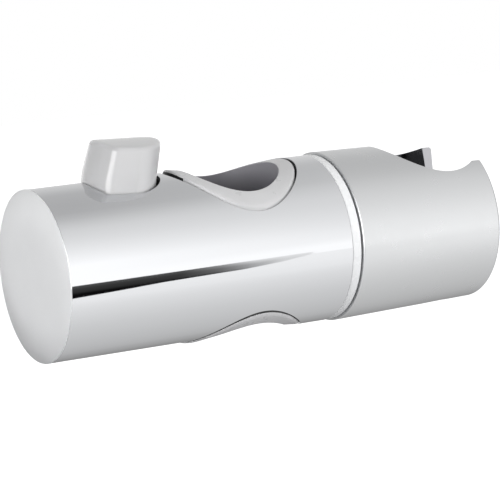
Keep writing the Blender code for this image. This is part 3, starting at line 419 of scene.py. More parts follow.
# Black glass-filled nylon of the brake shoe: a dry, slightly rough skin
SHOE_PLASTIC = plastic("shoe_plastic", "2d2e30", "252628", (0.42, 0.58), 0.3125, 0.006)
# Matt black moulded rubber of the brake pad and the friction ring: no highlight at all
PAD_RUBBER = plastic("pad_rubber", "1f1f20", "191919", (0.72, 0.86), 0.238, 0.010)
# Duller plating on the holder's slot walls, its tint darkened as painted shade inside the slot: a
# flat grey
SLOT_SHADE_CHROME = metal("slot_chrome_painted_shade", "a8a8ab", (0.30, 0.36), 14.3, 0.0016)
# Dark plating down in the handset's socket: a dim mirror, its tint darkened as painted shade for
# the deep socket
SOCKET_SHADE_CHROME = metal("socket_chrome_painted_shade", "6a6b6d", (0.06, 0.10), 14.3, 0.0016)
# Drawn spring wire: grey, with fine drawing marks
SPRING_STEEL = metal("spring_steel", "a4a6a9", (0.22, 0.36), 0.417, 0.003)
# Turned stainless steel of the lever's pin: a clean bright grey
STAINLESS_STEEL = metal("stainless_steel", "bfc1c3", (0.18, 0.28), 0.556, 0.002)
# Bright zinc plating on the screw and its washer: a cloudy silver
PLATED_STEEL = metal("plated_steel", "b4b6b8", (0.22, 0.34), 0.667, 0.003)
# Turned brass of the threaded insert: warm yellow
INSERT_BRASS = metal("insert_brass", "c8a04e", (0.22, 0.34), 0.667, 0.003)
# Natural nylon of the thrust washer: milky, with light getting in
WASHER_NYLON = plastic("washer_nylon", "e8e6e0", "e1dfd8", (0.36, 0.46), 0.556, 0.003, 0.2)
# Grey moulded plastic of the screw cover: plain, with a mild gloss
COVER_PLASTIC = plastic("cover_plastic", "9a9c9e", "929496", (0.30, 0.38), 0.833, 0.002)


# Mesh helpers


def add_object(name, data):
    """Puts a mesh, a light or a camera into the scene."""
    placed = bpy.data.objects.new(name, data)
    bpy.context.scene.collection.objects.link(placed)
    return placed


def mesh_from(name, bm):
    mesh = bpy.data.meshes.new(name)
    bm.to_mesh(mesh)
    bm.free()
    return mesh


def shade_softly(mesh):
    mesh.shade_smooth()
    mesh.set_sharp_from_angle(angle=SHARP_ANGLE)


def piece_from(name, bm, body, slot, *materials):
    """Turns a mesh in the making into a piece that rides on a body."""
    bmesh.ops.recalc_face_normals(bm, faces=bm.faces[:])
    mesh = mesh_from(name, bm)
    shade_softly(mesh)
    piece = add_object(name, mesh)
    for material in materials:
        mesh.materials.append(material)
    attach(piece, body)
    return piece


def rounded(points, closed=False):
    """Rounds the corners of a run of (along, radius, rounding) points."""
    run = []
    last = len(points) - 1
    for i, (along, radius, rounding) in enumerate(points):
        corner = Vector((along, radius))
        if not rounding or (not closed and i in (0, last)):
            run.append(corner)
            continue
        back = (Vector(points[i - 1][:2]) - corner).normalized()
        ahead = (Vector(points[(i + 1) % len(points)][:2]) - corner).normalized()
        half = back.angle(ahead) / 2
        centre = corner + (back + ahead).normalized() * rounding / math.sin(half)
        first = corner + back * rounding / math.tan(half) - centre
        sweep = -first.angle_signed(corner + ahead * rounding / math.tan(half) - centre)
        for k in range(ROUNDING_STEPS + 1):
            turn = Matrix.Rotation(sweep * k / ROUNDING_STEPS, 2)
            run.append(centre + turn @ first)
    return run


def spun(profile, closed=False, axis="X", steps=ROUND):
    """Spins (along, radius) points about X or Z."""
    bm = bmesh.new()
    if axis == "X":
        verts = [bm.verts.new((along, 0, radius)) for along, radius in profile]
    else:
        verts = [bm.verts.new((radius, 0, along)) for along, radius in profile]
    edges = [bm.edges.new(pair) for pair in zip(verts, verts[1:])]
    if closed:
        edges.append(bm.edges.new((verts[-1], verts[0])))
    bmesh.ops.spin(
        bm,
        geom=verts + edges,
        cent=(0, 0, 0),
        axis=(1, 0, 0) if axis == "X" else (0, 0, 1),
        angle=2 * math.pi,
        steps=steps,
        use_merge=True,
    )
    bmesh.ops.remove_doubles(bm, verts=bm.verts[:], dist=WELD)
    bmesh.ops.recalc_face_normals(bm, faces=bm.faces[:])
    return bm


def helper_from(bm):
    """A throwaway object that another piece is carved with."""
    bmesh.ops.recalc_face_normals(bm, faces=bm.faces[:])
    return add_object("helper", mesh_from("helper", bm))


def settle(obj):
    """Replaces an object's mesh by what its modifiers make of it."""
    evaluated = obj.evaluated_get(bpy.context.evaluated_depsgraph_get())
    made = bpy.data.meshes.new_from_object(evaluated)
    obj.modifiers.clear()
    old = obj.data
    obj.data = made
    bpy.data.meshes.remove(old)


def carve(obj, operation, *helpers):
    """Carves an object with throwaway helpers, and keeps the result in its mesh."""
    for helper in helpers:
        boolean = obj.modifiers.new(operation, "BOOLEAN")
        boolean.operation = operation
        boolean.solver = "EXACT"
        boolean.object = helper
    settle(obj)
    for helper in helpers:
        bpy.data.meshes.remove(helper.data)


def block(low, high):
    bm = bmesh.new()
    low, high = Vector(low), Vector(high)
    bmesh.ops.create_cube(bm, size=1.0)
    bmesh.ops.scale(bm, vec=high - low, verts=bm.verts[:])
    bmesh.ops.translate(bm, vec=(low + high) / 2, verts=bm.verts[:])
    return bm


def rod(start, end, radius, steps=ROUND):
    return spun([(end, 0), (end, radius), (start, radius), (start, 0)], steps=steps)


def cad_copy(name, node, body, slot, material):
    """Copy of a CAD piece with its loose triangles joined up."""
    bm = bmesh.new()
    bm.from_mesh(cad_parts[node].data)
    bmesh.ops.remove_doubles(bm, verts=bm.verts[:], dist=SNAP)
    return piece_from(name, bm, body, slot, material)


def cad_inside(name, node, body, slot, material, keep):
    """Copy of what a CAD piece has inside a helper's volume."""
    piece = cad_copy(name, node, body, slot, material)
    carve(piece, "INTERSECT", helper_from(keep))
    shade_softly(piece.data)
    return piece


def arc(centre, radius, start, end, count):
    """Points on an arc in plan, angles in degrees, both ends included."""
    angles = [math.radians(start + (end - start) * i / count) for i in range(count + 1)]
    return [(centre[0] + radius * math.cos(a), centre[1] + radius * math.sin(a)) for a in angles]


def button_outline(nose_x, half_width, back_x, back_half_width, corner):
    """Plan of the thumb button: round front, drawn-in sides and a slightly bowed back."""
    front = arc((nose_x, 0), half_width, -90, 90, BUTTON_FRONT_STEPS)
    bow = (back_half_width**2 + BUTTON_BACK_BULGE**2) / (2 * BUTTON_BACK_BULGE)
    half_turn = math.degrees(math.asin(back_half_width / bow))
    back = arc((back_x + bow, 0), bow, 180 - half_turn, 180 + half_turn, BUTTON_BACK_STEPS)
    run = [
        (*front[-1], 0),
        (back_x + BUTTON_BACK_BULGE, back_half_width, corner),
        (*back[BUTTON_BACK_CUT], 0),
    ]
    upper = [tuple(point) for point in rounded(run)[1:-1]]
    lower = [(x, -y) for x, y in reversed(upper)]
    return front + upper + back[BUTTON_BACK_CUT + 1 : -BUTTON_BACK_CUT - 1] + lower


# Polished tube


SHEET_LOW, SHEET_HIGH = -1.5 * math.pi * BODY_RADIUS, 0.5 * math.pi * BODY_RADIUS
SHEET_START_X, SHEET_END_X = BODY_START_X + RIM_ROUNDING, BODY_END_X - RIM_ROUNDING


def flat_place(x, y, side):
    """Where a point of the tube's top (side 1) or bottom (side -1) lies when it is unrolled."""
    lean = math.asin(y / BODY_RADIUS)
    turn = lean if side > 0 else -math.pi - lean
    return Vector((x, turn * BODY_RADIUS, 0))


def tube_openings():
    """Outlines in plan of the tube's openings, each with its side of the tube."""
    seat = BUSH_SEAT_RADIUS + RIM_ROUNDING
    circle = arc((0, 0), seat, 0, 360, ROUND)[:-1]
    stretched = [
        (x - OPENING_STRETCH * max(-x / seat, 0) ** STRETCH_POWER, y) for x, y in circle
    ]
    slot = button_outline(
        SLOT_NOSE_X,
        BUTTON_HALF_WIDTH + SLOT_SIDE_GAP + RIM_ROUNDING,
        BUTTON_BACK_X - SLOT_SIDE_GAP - RIM_ROUNDING,
        BUTTON_BACK_HALF_WIDTH + SLOT_SIDE_GAP + RIM_ROUNDING,
        SLOT_CORNER,
    )
    return (stretched, 1), (circle, -1), (slot, 1)


def edge_loop(bm, points):
    verts = [bm.verts.new(point) for point in points]
    edges = [bm.edges.new(pair) for pair in zip(verts, verts[1:] + verts[:1])]
    return verts, edges


def flat_sheet(bm, inward):
    """The tube's outside, unrolled and sliced into strips, with its openings left out."""
    edge_loop(
        bm,
        [
            (SHEET_START_X, SHEET_LOW, 0),
            (SHEET_END_X, SHEET_LOW, 0),
            (SHEET_END_X, SHEET_HIGH, 0),
            (SHEET_START_X, SHEET_HIGH, 0),
        ],
    )
    for outline, side in tube_openings():
        verts, _ = edge_loop(bm, [flat_place(x, y, side) for x, y in outline])
        for i, vert in enumerate(verts):
            before, after = Vector(outline[i - 1]), Vector(outline[(i + 1) % len(outline)])
            along = (after - before).normalized()
            vert[inward] = Vector((-along.y, along.x, 0))
    bmesh.ops.triangle_fill(bm, edges=bm.edges[:], use_beauty=True)
    for i in range(1, SLICES):
        bmesh.ops.bisect_plane(
            bm,
            geom=bm.verts[:] + bm.edges[:] + bm.faces[:],
            dist=SNAP,
            plane_co=(0, SHEET_LOW + (SHEET_HIGH - SHEET_LOW) * i / SLICES, 0),
            plane_no=(0, 1, 0),
        )


def roll_up(bm):
    """Rolls the sheet into a tube and joins its seam, which lies at the back."""
    seam = []
    for vert in bm.verts:
        x, s, _ = vert.co
        turn = s / BODY_RADIUS
        if min(abs(s - SHEET_LOW), abs(s - SHEET_HIGH)) < SNAP:
            seam.append(vert)
        vert.co = (x, BODY_RADIUS * math.sin(turn), BODY_RADIUS * math.cos(turn))
    bmesh.ops.remove_doubles(bm, verts=seam, dist=SNAP)


def on_tube_end(point):
    return min(abs(point.x - SHEET_START_X), abs(point.x - SHEET_END_X)) < SNAP


def body_skin():
    """Outer tube, rolled up from a flat sheet so that every rim has a clean rounded lip."""
    bm = bmesh.new()
    # Which way a rim's lip goes, where its points start, how they are shaded, and tube ends
    inward = bm.verts.layers.float_vector.new("inward")
    base = bm.verts.layers.float_vector.new("base")
    facing = bm.verts.layers.float_vector.new("facing")
    on_end = bm.verts.layers.int.new("on_end")
    flat_sheet(bm, inward)
    roll_up(bm)

    outer = bm.faces[:]
    rim_edges = [edge for edge in bm.edges if edge.is_boundary]
    rim_verts = {vert for edge in rim_edges for vert in edge.verts}
    for vert in bm.verts:
        vert[base] = vert.co
        vert[facing] = Vector((0, vert.co.y, vert.co.z)).normalized()
        if vert in rim_verts and on_tube_end(vert.co):
            vert[on_end] = 1
            vert[inward] = Vector((-1 if vert.co.x < 0 else 1, 0, 0))

    def rim_place(vert, shift, depth):
        """A rim's point, moved out over the opening and sunk below the tube's surface."""
        x, y, z = vert[base] + vert[inward].normalized() * shift
        if vert[on_end]:
            scale = (BODY_RADIUS - depth) / BODY_RADIUS
            return Vector((x, y * scale, z * scale))
        return Vector((x, y, math.copysign(math.sqrt((BODY_RADIUS - depth) ** 2 - y**2), z)))

    # Lining
    copied = bmesh.ops.duplicate(bm, geom=outer + list({e for f in outer for e in f.edges}))
    inner = [item for item in copied["geom"] if isinstance(item, bmesh.types.BMVert)]
    lining = [item for item in copied["geom"] if isinstance(item, bmesh.types.BMFace)]
    inner_scale = (BODY_RADIUS - SKIN_THICKNESS) / BODY_RADIUS
    for vert in inner:
        if vert.is_boundary:
            vert.co = rim_place(vert, RIM_ROUNDING, SKIN_THICKNESS)
        else:
            vert.co.yz *= inner_scale
        vert[facing] = (0, 0, 0)
    bmesh.ops.reverse_faces(bm, faces=lining)

    # Lips, rounded in steps and then, at None, taken down to the lining
    steps = [math.pi / 2 * (k + 1) / ROUNDING_STEPS for k in range(ROUNDING_STEPS)] + [None]
    for step in steps:
        made = bmesh.ops.extrude_edge_only(bm, edges=rim_edges)
        verts = [item for item in made["geom"] if isinstance(item, bmesh.types.BMVert)]
        fresh = set(verts)
        rim_edges = [
            item
            for item in made["geom"]
            if isinstance(item, bmesh.types.BMEdge) and set(item.verts) <= fresh
        ]
        for vert in verts:
            if step is None:
                vert.co = rim_place(vert, RIM_ROUNDING, SKIN_THICKNESS)
                vert[facing] = (0, 0, 0)
                continue
            shift, depth = RIM_ROUNDING * math.sin(step), RIM_ROUNDING * (1 - math.cos(step))
            vert.co = rim_place(vert, shift, depth)
            radial = Vector((0, vert[base].y, vert[base].z)).normalized()
            vert[facing] = radial * math.cos(step) + vert[inward].normalized() * math.sin(step)
    edge_verts = [vert for vert in bm.verts if vert.is_boundary]
    bmesh.ops.remove_doubles(bm, verts=edge_verts, dist=SNAP)
    bm.verts.ensure_lookup_table()
    normals = [tuple(vert[facing]) for vert in bm.verts]
    skin = piece_from("chrome_tube", bm, "body", "polished_chrome", POLISHED_CHROME)
    skin.data.normals_split_custom_set_from_vertices(normals)
    return skin


skin = body_skin()
core = cad_inside(
    "tube_inside",
    "body_shell",
    "body",
    "polished_chrome",
    SHADED_INSIDE_ABS,
    rod(*TUBE_INSIDE_X, BODY_RADIUS - SKIN_THICKNESS - INSIDE_GAP),
)
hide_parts("body_shell")
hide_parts("body_shell")


# End cap

cap_profile = rounded(
    [
        (CAP_FACE_X, 0, 0),
        *[
            (CAP_FACE_X + CAP_DROP * share**2, CAP_FLAT_RADIUS + CAP_PILLOW * share, 0)
            for share in CAP_RINGS
        ],
        (CAP_FACE_X + CAP_DROP, BODY_RADIUS, CAP_ROUNDING),
        (CAP_RIM_X, BODY_RADIUS, 0),
        (CAP_RIM_X, CAP_SKIRT_RADIUS, 0),
        (CAP_SKIRT_END_X, CAP_SKIRT_RADIUS, EDGE),
        (CAP_SKIRT_END_X, CAP_SKIRT_INNER, CAP_SKIRT_ROUNDING),
        (SPRING_SEAT_X, CAP_SKIRT_INNER, 0),
        (SPRING_SEAT_X, 0, 0),
    ]
)
cap = piece_from("end_disc", spun(cap_profile), "body", "cap_plastic", CAP_PLASTIC)
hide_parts("end_cap")
cap_back = cad_inside(
    "end_disc_ribs",
    "end_cap",
    "body",
    "cap_plastic",
    CAP_PLASTIC,
    rod(
        SPRING_SEAT_X + CAP_RIBS_GAP,
        CAP_RIBS_END_X,
        CAP_SKIRT_INNER - CAP_RIBS_GAP,
        steps=RIBS_ROUND,
    ),
)
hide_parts("end_cap")


# Rail bushes


def saddle_height(x, y):
    """Height of a bush's face, which follows the tube and rises towards the lever."""
    return math.sqrt((BODY_RADIUS + BUSH_PROUD) ** 2 - y**2) - BUSH_RISE * x / BUSH_RADIUS


def rail_bush(name, side, node):
    """Collar whose saddle end lies flush with the tube, with softly rounded lips."""
    crest = BODY_RADIUS + BUSH_PROUD
    outer, inner = BUSH_RADIUS, BUSH_BORE
    face_start, face_end = outer - BUSH_OUTER_ROUNDING, inner + BUSH_INNER_ROUNDING
    turns = [math.pi / 2 * k / ROUNDING_STEPS for k in range(ROUNDING_STEPS + 1)]
    profile = [(BUSH_FOOT_Z, outer)]
    for turn in turns:
        below = BUSH_OUTER_ROUNDING * (1 - math.sin(turn))
        profile.append((crest - below, face_start + BUSH_OUTER_ROUNDING * math.cos(turn)))
    for k in range(1, BUSH_FACE_RINGS):
        share = k / BUSH_FACE_RINGS
        profile.append(
            (crest - BUSH_DISH * share, face_start + (face_end - face_start) * share)
        )
    for turn in turns:
        below = BUSH_DISH + BUSH_INNER_ROUNDING * (1 - math.cos(turn))
        profile.append((crest - below, face_end - BUSH_INNER_ROUNDING * math.sin(turn)))
    profile.append((BUSH_FOOT_Z, inner))
    bm = spun(profile, closed=True, axis="Z")
    for vert in bm.verts:
        if vert.co.z > BUSH_FOOT_Z + SNAP:
            vert.co.z += saddle_height(vert.co.x, vert.co.y) - crest
        vert.co.z *= side
    bush = piece_from(
        name, bm, "body", "bush_plastic", BUSH_PLASTIC, SHADED_BORE_PLASTIC, SHADED_WALL_PLASTIC
    )
    # Bore faces, and outer wall faces left of the mark for their side, take the materials of
    # painted shade
    for face in bush.data.polygons:
        out = face.center.xy.length
        if out < BUSH_BORE + BUSH_SHADE_REACH:
            face.material_index = 1
        elif out > BUSH_RADIUS - BUSH_SHADE_REACH and face.center.x < WALL_SHADE_X[side]:
            face.material_index = 2
    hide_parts(node)


rail_bush("upper_bush", 1, "upper_rail_bush")
rail_bush("lower_bush", -1, "lower_rail_bush")


# Thumb lever


def button_top(x, y):
    """Height of the crowned top, which falls away forwards and to both sides."""
    drop = BUTTON_CROWN_RADIUS - math.sqrt(BUTTON_CROWN_RADIUS**2 - y**2)
    return BUTTON_TOP_Z + BUTTON_SLOPE * (x - BUTTON_NOSE_X) - drop


def thumb_button():
    outline = button_outline(
        BUTTON_NOSE_X, BUTTON_HALF_WIDTH, BUTTON_BACK_X, BUTTON_BACK_HALF_WIDTH, BUTTON_CORNER
    )
    middle_x = (BUTTON_BACK_X + BUTTON_NOSE_X + BUTTON_HALF_WIDTH) / 2

    def drawn_in(inset):
        factor = 1 - inset / BUTTON_HALF_WIDTH
        return [(middle_x + (x - middle_x) * factor, y * factor) for x, y in outline]

    def leaning(x, y, z):
        """Moves a point along by the sides' lean, which sets in softly at the tube."""
        above = min(max(z - BODY_RADIUS + LEAN_EASE, 0), 2 * LEAN_EASE)
        lean = above**2 / (4 * LEAN_EASE) + max(z - BODY_RADIUS - LEAN_EASE, 0)
        return (x + BUTTON_LEAN * lean, y, z)

    rings = [[(x, y, BUTTON_FOOT_Z) for x, y in outline]]
    for k in range(BUTTON_STEPS + 1):
        z = BODY_RADIUS + LEAN_EASE * (2 * k / BUTTON_STEPS - 1)
        rings.append([leaning(x, y, z) for x, y in outline])
    for k in range(BUTTON_STEPS + 1):
        turn = math.pi / 2 * k / BUTTON_STEPS
        inset = BUTTON_TOP_INSET + BUTTON_ROUNDING * (1 - math.cos(turn))
        below = BUTTON_ROUNDING * (1 - math.sin(turn))
        rings.append([leaning(x, y, button_top(x, y) - below) for x, y in drawn_in(inset)])
    for share in BUTTON_TOP_RINGS:
        inner = drawn_in(share * BUTTON_HALF_WIDTH)
        rings.append([leaning(x, y, button_top(x, y)) for x, y in inner])
    bm = bmesh.new()
    loops = [edge_loop(bm, ring)[1] for ring in rings]
    for near, far in zip(loops, loops[1:]):
        bmesh.ops.bridge_loops(bm, edges=near + far)
    bmesh.ops.contextual_create(bm, geom=loops[0])
    bmesh.ops.contextual_create(bm, geom=loops[-1])
    return piece_from("thumb_button", bm, "lever", "lever_plastic", LEVER_PLASTIC)


button = thumb_button()
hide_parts("release_lever")
works = cad_inside(
    "lever_works",
    "release_lever",
    "lever",
    "lever_plastic",
    LEVER_PLASTIC,
    block(WORKS_LOW, (WORKS_HIGH_X, WORKS_HIGH_Y, BUTTON_FOOT_Z - INSIDE_GAP)),
)
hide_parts("release_lever")


# Swivel ring

ring_profile = rounded(
    [
        (RING_END_X, RING_RADIUS, EDGE),
        (RING_START_X, RING_RADIUS, EDGE),
        (RING_START_X, LIP_OUTER, 0),
        (LIP_X, LIP_OUTER, EDGE),
        (LIP_X, LIP_INNER, EDGE),
        (RING_START_X, LIP_INNER, 0),
        (RING_START_X, RING_BORE, EDGE),
        (RING_END_X, RING_BORE, EDGE),
    ],
    closed=True,
)
ring = piece_from(
    "swivel_band", spun(ring_profile, closed=True), "body", "ring_plastic", RING_PLASTIC
)
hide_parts("swivel_ring")


# Handset holder


def socket_cone():
    mouth = SOCKET_RADIUS + SOCKET_TAPER * SOCKET_MOUTH_Z
    bm = spun(
        [
            (OUTSIDE, 0),
            (OUTSIDE, mouth + SOCKET_MOUTH_TAPER * (OUTSIDE - SOCKET_MOUTH_Z)),
            (SOCKET_MOUTH_Z, mouth),
            (-OUTSIDE, SOCKET_RADIUS - SOCKET_TAPER * OUTSIDE),
            (-OUTSIDE, 0),
        ],
        axis="Z",
    )
    bmesh.ops.translate(bm, vec=(SOCKET_X, 0, 0), verts=bm.verts[:])
    return bm


def in_socket(point, normal):
    """Whether a face of the holder lines the socket's cone."""
    x, y = point.x - SOCKET_X, point.y
    out = math.hypot(x, y)
    inward = -(normal.x * x + normal.y * y) / max(out, WELD)
    below_rim = point.yz.length < HOLDER_RADIUS - SOCKET_RIM
    return inward > SOCKET_FACING and below_rim and out < SOCKET_REACH


def in_slot(point, normal):
    """Whether a face of the holder is a wall of the hose slot."""
    return point.x > SOCKET_X and -normal.y * math.copysign(1, point.y) > WALL_FACING


def hose_slot():
    """Helper for the slot, whose sides are drawn in from 1 to its half width at each height."""
    bm = block((SOCKET_X, -1, -OUTSIDE), (HOLDER_END_X + OVERCUT, 1, OUTSIDE))
    for vert in bm.verts:
        vert.co.y *= SLOT_HALF_WIDTH + SLOT_TAPER * vert.co.z
    return bm


def handset_holder():
    profile = rounded(
        [
            (HOLDER_END_X, 0, 0),
            (HOLDER_END_X, HOLDER_END_RADIUS, HOLDER_END_ROUNDING),
            (HOLDER_START_X, HOLDER_RADIUS, EDGE),
            (HOLDER_START_X, 0, 0),
        ]
    )
    holder = piece_from(
        "satin_holder",
        spun(profile),
        "holder",
        "satin_chrome",
        SATIN_CHROME,
        SOCKET_SHADE_CHROME,
        SLOT_SHADE_CHROME,
    )
    bore = [
        (SOCKET_X, 0),
        (SOCKET_X, CHAMBER_RADIUS),
        (CHAMBER_START_X, CHAMBER_RADIUS),
        (CHAMBER_START_X, WEB_HOLE_RADIUS),
        (SPIGOT_SEAT_END_X, WEB_HOLE_RADIUS),
        (SPIGOT_SEAT_END_X, SPIGOT_SEAT_RADIUS),
        (HOLDER_START_X - OVERCUT, SPIGOT_SEAT_RADIUS),
        (HOLDER_START_X - OVERCUT, 0),
    ]
    carve(
        holder,
        "DIFFERENCE",
        helper_from(socket_cone()),
        helper_from(hose_slot()),
        helper_from(spun(bore, steps=SMALL_ROUND)),
    )
    bevel = holder.modifiers.new("soft edges", "BEVEL")
    bevel.width = HOLDER_EDGE
    bevel.segments = HOLDER_EDGE_STEPS
    bevel.limit_method = "ANGLE"
    bevel.angle_limit = HOLDER_EDGE_ANGLE
    bevel.use_clamp_overlap = False
    bevel.miter_outer = "MITER_ARC"
    settle(holder)
    shade_softly(holder.data)
    # The socket's cone and the slot's walls take chrome darkened as painted shade
    for face in holder.data.polygons:
        if in_socket(face.center, face.normal):
            face.material_index = 1
        elif in_slot(face.center, face.normal):
            face.material_index = 2
    even = holder.modifiers.new("even shading", "WEIGHTED_NORMAL")
    even.keep_sharp = True
    even.weight = 100
    settle(holder)
    return holder


holder = handset_holder()
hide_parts("handset_holder")

cover_profile = rounded(
    [
        (COVER_FACE_X, 0, 0),
        (COVER_FACE_X, COVER_RADIUS, EDGE),
        (COVER_X, COVER_RADIUS, 0),
        (COVER_X, COVER_SKIRT_INNER, 0),
        (COVER_PLATE_X, COVER_SKIRT_INNER, 0),
        (COVER_PLATE_X, 0, 0),
    ]
)
cover = piece_from(
    "socket_plug", spun(cover_profile, steps=SMALL_ROUND), "holder", "cover_plastic", COVER_PLASTIC
)
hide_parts("screw_cover")


# Brake spring, a copy of the CAD's with a mesh of its own (in the real slider it shortens as the
# shoe slides back; nothing here moves it)

coil = cad_copy("brake_coil", "brake_spring", "body", "spring_steel", SPRING_STEEL)
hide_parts("brake_spring")
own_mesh(coil)


# Pieces that keep their CAD shape

for node, material in {
    "lever_pin": STAINLESS_STEEL,
    "brake_shoe": SHOE_PLASTIC,
    "brake_pad": PAD_RUBBER,
    "friction_ring": PAD_RUBBER,
    "threaded_insert": INSERT_BRASS,
    "swivel_screw": PLATED_STEEL,
    "thrust_washer": WASHER_NYLON,
    "screw_washer": PLATED_STEEL,
    "swivel_spring": SPRING_STEEL,
}.items():
    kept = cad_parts[node]
    for place in kept.material_slots:
        place.material = material


# Camera

CAMERA_PLACE = Vector((-0.293193, -0.551642, 0.135144))
CAMERA_RIGHT = Vector((0.87623827, -0.48113141, -0.02681528))
CAMERA_UP = Vector((0.12506194, 0.17331728, 0.97689336))
CAMERA_LENS = 181.096

camera_data = bpy.data.cameras.new("camera")
camera_data.lens = CAMERA_LENS
camera_data.sensor_width = 36.0
camera_data.clip_start = 0.01
camera = add_object("camera", camera_data)
axes = Matrix((CAMERA_RIGHT, CAMERA_UP, CAMERA_RIGHT.cross(CAMERA_UP))).transposed()
camera.matrix_world = Matrix.Translation(CAMERA_PLACE) @ axes.to_4x4()
bpy.context.scene.camera = camera
bpy.context.scene.view_settings.view_transform = "Standard"


# Studio

# Strength of the background in a mirror and as a light on matt surfaces
MIRRORED_STRENGTH = 1.6
MATT_STRENGTH = 0.98
# Strength of the floor and the black flag in a mirror
MIRRORED_GAIN = 1.45
FLOOR_Z = -0.13
FLOOR_HALF = 0.95
FLOOR_BOARD = (0.38, 0.38, 0.39, 1.0)
# Greys the floor glows with in mirrors, from in front of the part (-Y) to behind it: painted
# light, darkest just behind the part, where painted shade stands in for its shadow
FLOOR_FRONT_Y, FLOOR_BACK_Y = -0.75, 0.85
FLOOR_SHADE = [
    (0.0, 0.96),
    (0.22, 0.93),
    (0.3025, 0.886),
    (0.35, 0.795),
    (0.382, 0.738),
    (0.406, 0.686),
    (0.424, 0.642),
    (0.441, 0.607),
    (0.4575, 0.566),
    (0.4756, 0.52),
    (0.498, 0.445),
    (0.508, 0.39),
    (0.539, 0.285),
    (0.569, 0.222),
    (0.656, 0.235),
    (0.78, 0.38),
    (0.97, 0.60),
]


def studio_material(name):
    """Empty material, with the piece's own coordinates taken apart."""
    material = bpy.data.materials.new(name)
    material.use_nodes = True
    tree = material.node_tree
    tree.nodes.clear()
    coords = add_node(tree, "ShaderNodeTexCoord").outputs["Object"]
    return material, tree, add_node(tree, "ShaderNodeSeparateXYZ", links={"Vector": coords})


def studio_floor():
    """Pale floor well below the part, lifted to white for the camera."""
    bm = bmesh.new()
    bmesh.ops.create_grid(bm, x_segments=8, y_segments=8, size=FLOOR_HALF)
    bmesh.ops.translate(bm, vec=(0, 0, FLOOR_Z), verts=bm.verts[:])
    mesh = mesh_from("studio_floor", bm)
    # Matt board, lifted to white for the camera; mirrors see instead the painted glow of the greys
    # above
    material, tree, apart = studio_material("studio_floor")
    along = add_node(
        tree,
        "ShaderNodeMapRange",
        values={"From Min": FLOOR_FRONT_Y, "From Max": FLOOR_BACK_Y},
        links={"Value": apart.outputs["Y"]},
    ).outputs["Result"]
    greys = add_node(
        tree, "ShaderNodeValToRGB", links={"Fac": along}, stops=FLOOR_SHADE
    ).outputs["Color"]
    graded = add_node(
        tree,
        "ShaderNodeEmission",
        values={"Strength": MIRRORED_GAIN},
        links={"Color": greys},
    ).outputs["Emission"]
    board = add_node(
        tree, "ShaderNodeBsdfDiffuse", values={"Color": FLOOR_BOARD}
    ).outputs["BSDF"]
    path = add_node(tree, "ShaderNodeLightPath")
    lift = add_node(
        tree, "ShaderNodeEmission", links={"Strength": path.outputs["Is Camera Ray"]}
    ).outputs["Emission"]
    lifted = add_node(tree, "ShaderNodeAddShader", links={0: board, 1: lift}).outputs["Shader"]
    both = add_node(
        tree,
        "ShaderNodeMixShader",
        links={"Fac": path.outputs["Is Glossy Ray"], 1: lifted, 2: graded},
    ).outputs["Shader"]
    add_node(tree, "ShaderNodeOutputMaterial", links={"Surface": both})
    mesh.materials.append(material)
    add_object("studio_floor", mesh)


# Greys from the front (0) over the top to the back (1), in the white part's left and right
WHITE_LEFT = [
    (0.0, 1.0),
    (0.11, 1.0),
    (0.155, 0.92),
    (0.20, 0.847),
    (0.245, 0.783),
    (0.29, 0.723),
    (0.333, 0.679),
    (0.378, 0.637),
    (0.422, 0.570),
    (0.478, 0.475),
    (0.533, 0.415),
    (0.60, 0.405),
    (0.75, 0.420),
    (0.86, 0.49),
]
WHITE_RIGHT = [
    (0.0, 0.98),
    (0.04, 0.89),
    (0.083, 0.855),
    (0.128, 0.807),
    (0.172, 0.768),
    (0.222, 0.731),
    (0.267, 0.70),
    (0.311, 0.672),
    (0.361, 0.651),
    (0.411, 0.617),
    (0.467, 0.577),
    (0.522, 0.526),
    (0.578, 0.508),
    (0.655, 0.484),
    (0.74, 0.478),
    (0.844, 0.52),
]
# Where the left greys pass into the right ones, as a share of a right angle to the right
WHITE_CHANGE = (24 / 90, 30 / 90)
# Share of those greys from the left (0) to the right (1) of the studio
STUDIO_SIDES = [(0.0, 0.0), (0.36, 0.0), (0.58, 1.0), (0.75, 1.0), (0.95, 0.0)]
# Grey of the rest
STUDIO_GREY = (0.40, 0.40, 0.40, 1.0)


def studio_angles(tree):
    """How far a ray goes over the top (0 in front, 1 behind) and aside (-1 left, 1 right)."""
    direction = add_node(tree, "ShaderNodeTexCoord").outputs["Generated"]
    apart = add_node(tree, "ShaderNodeSeparateXYZ", links={"Vector": direction})
    forward = add_node(
        tree,
        "ShaderNodeMath",
        settings={"operation": "MULTIPLY"},
        values={1: -1.0},
        links={0: apart.outputs["Y"]},
    ).outputs["Value"]
    round_x = add_node(
        tree,
        "ShaderNodeMath",
        settings={"operation": "ARCTAN2"},
        links={0: apart.outputs["Z"], 1: forward},
    ).outputs["Value"]
    height = add_node(
        tree,
        "ShaderNodeMath",
        settings={"operation": "DIVIDE"},
        values={1: math.pi},
        links={0: round_x},
    ).outputs["Value"]
    to_right = add_node(
        tree,
        "ShaderNodeMath",
        settings={"operation": "ARCSINE"},
        links={0: apart.outputs["X"]},
    ).outputs["Value"]
    side = add_node(
        tree,
        "ShaderNodeMath",
        settings={"operation": "DIVIDE"},
        values={1: math.pi / 2},
        links={0: to_right},
    ).outputs["Value"]
    return height, side


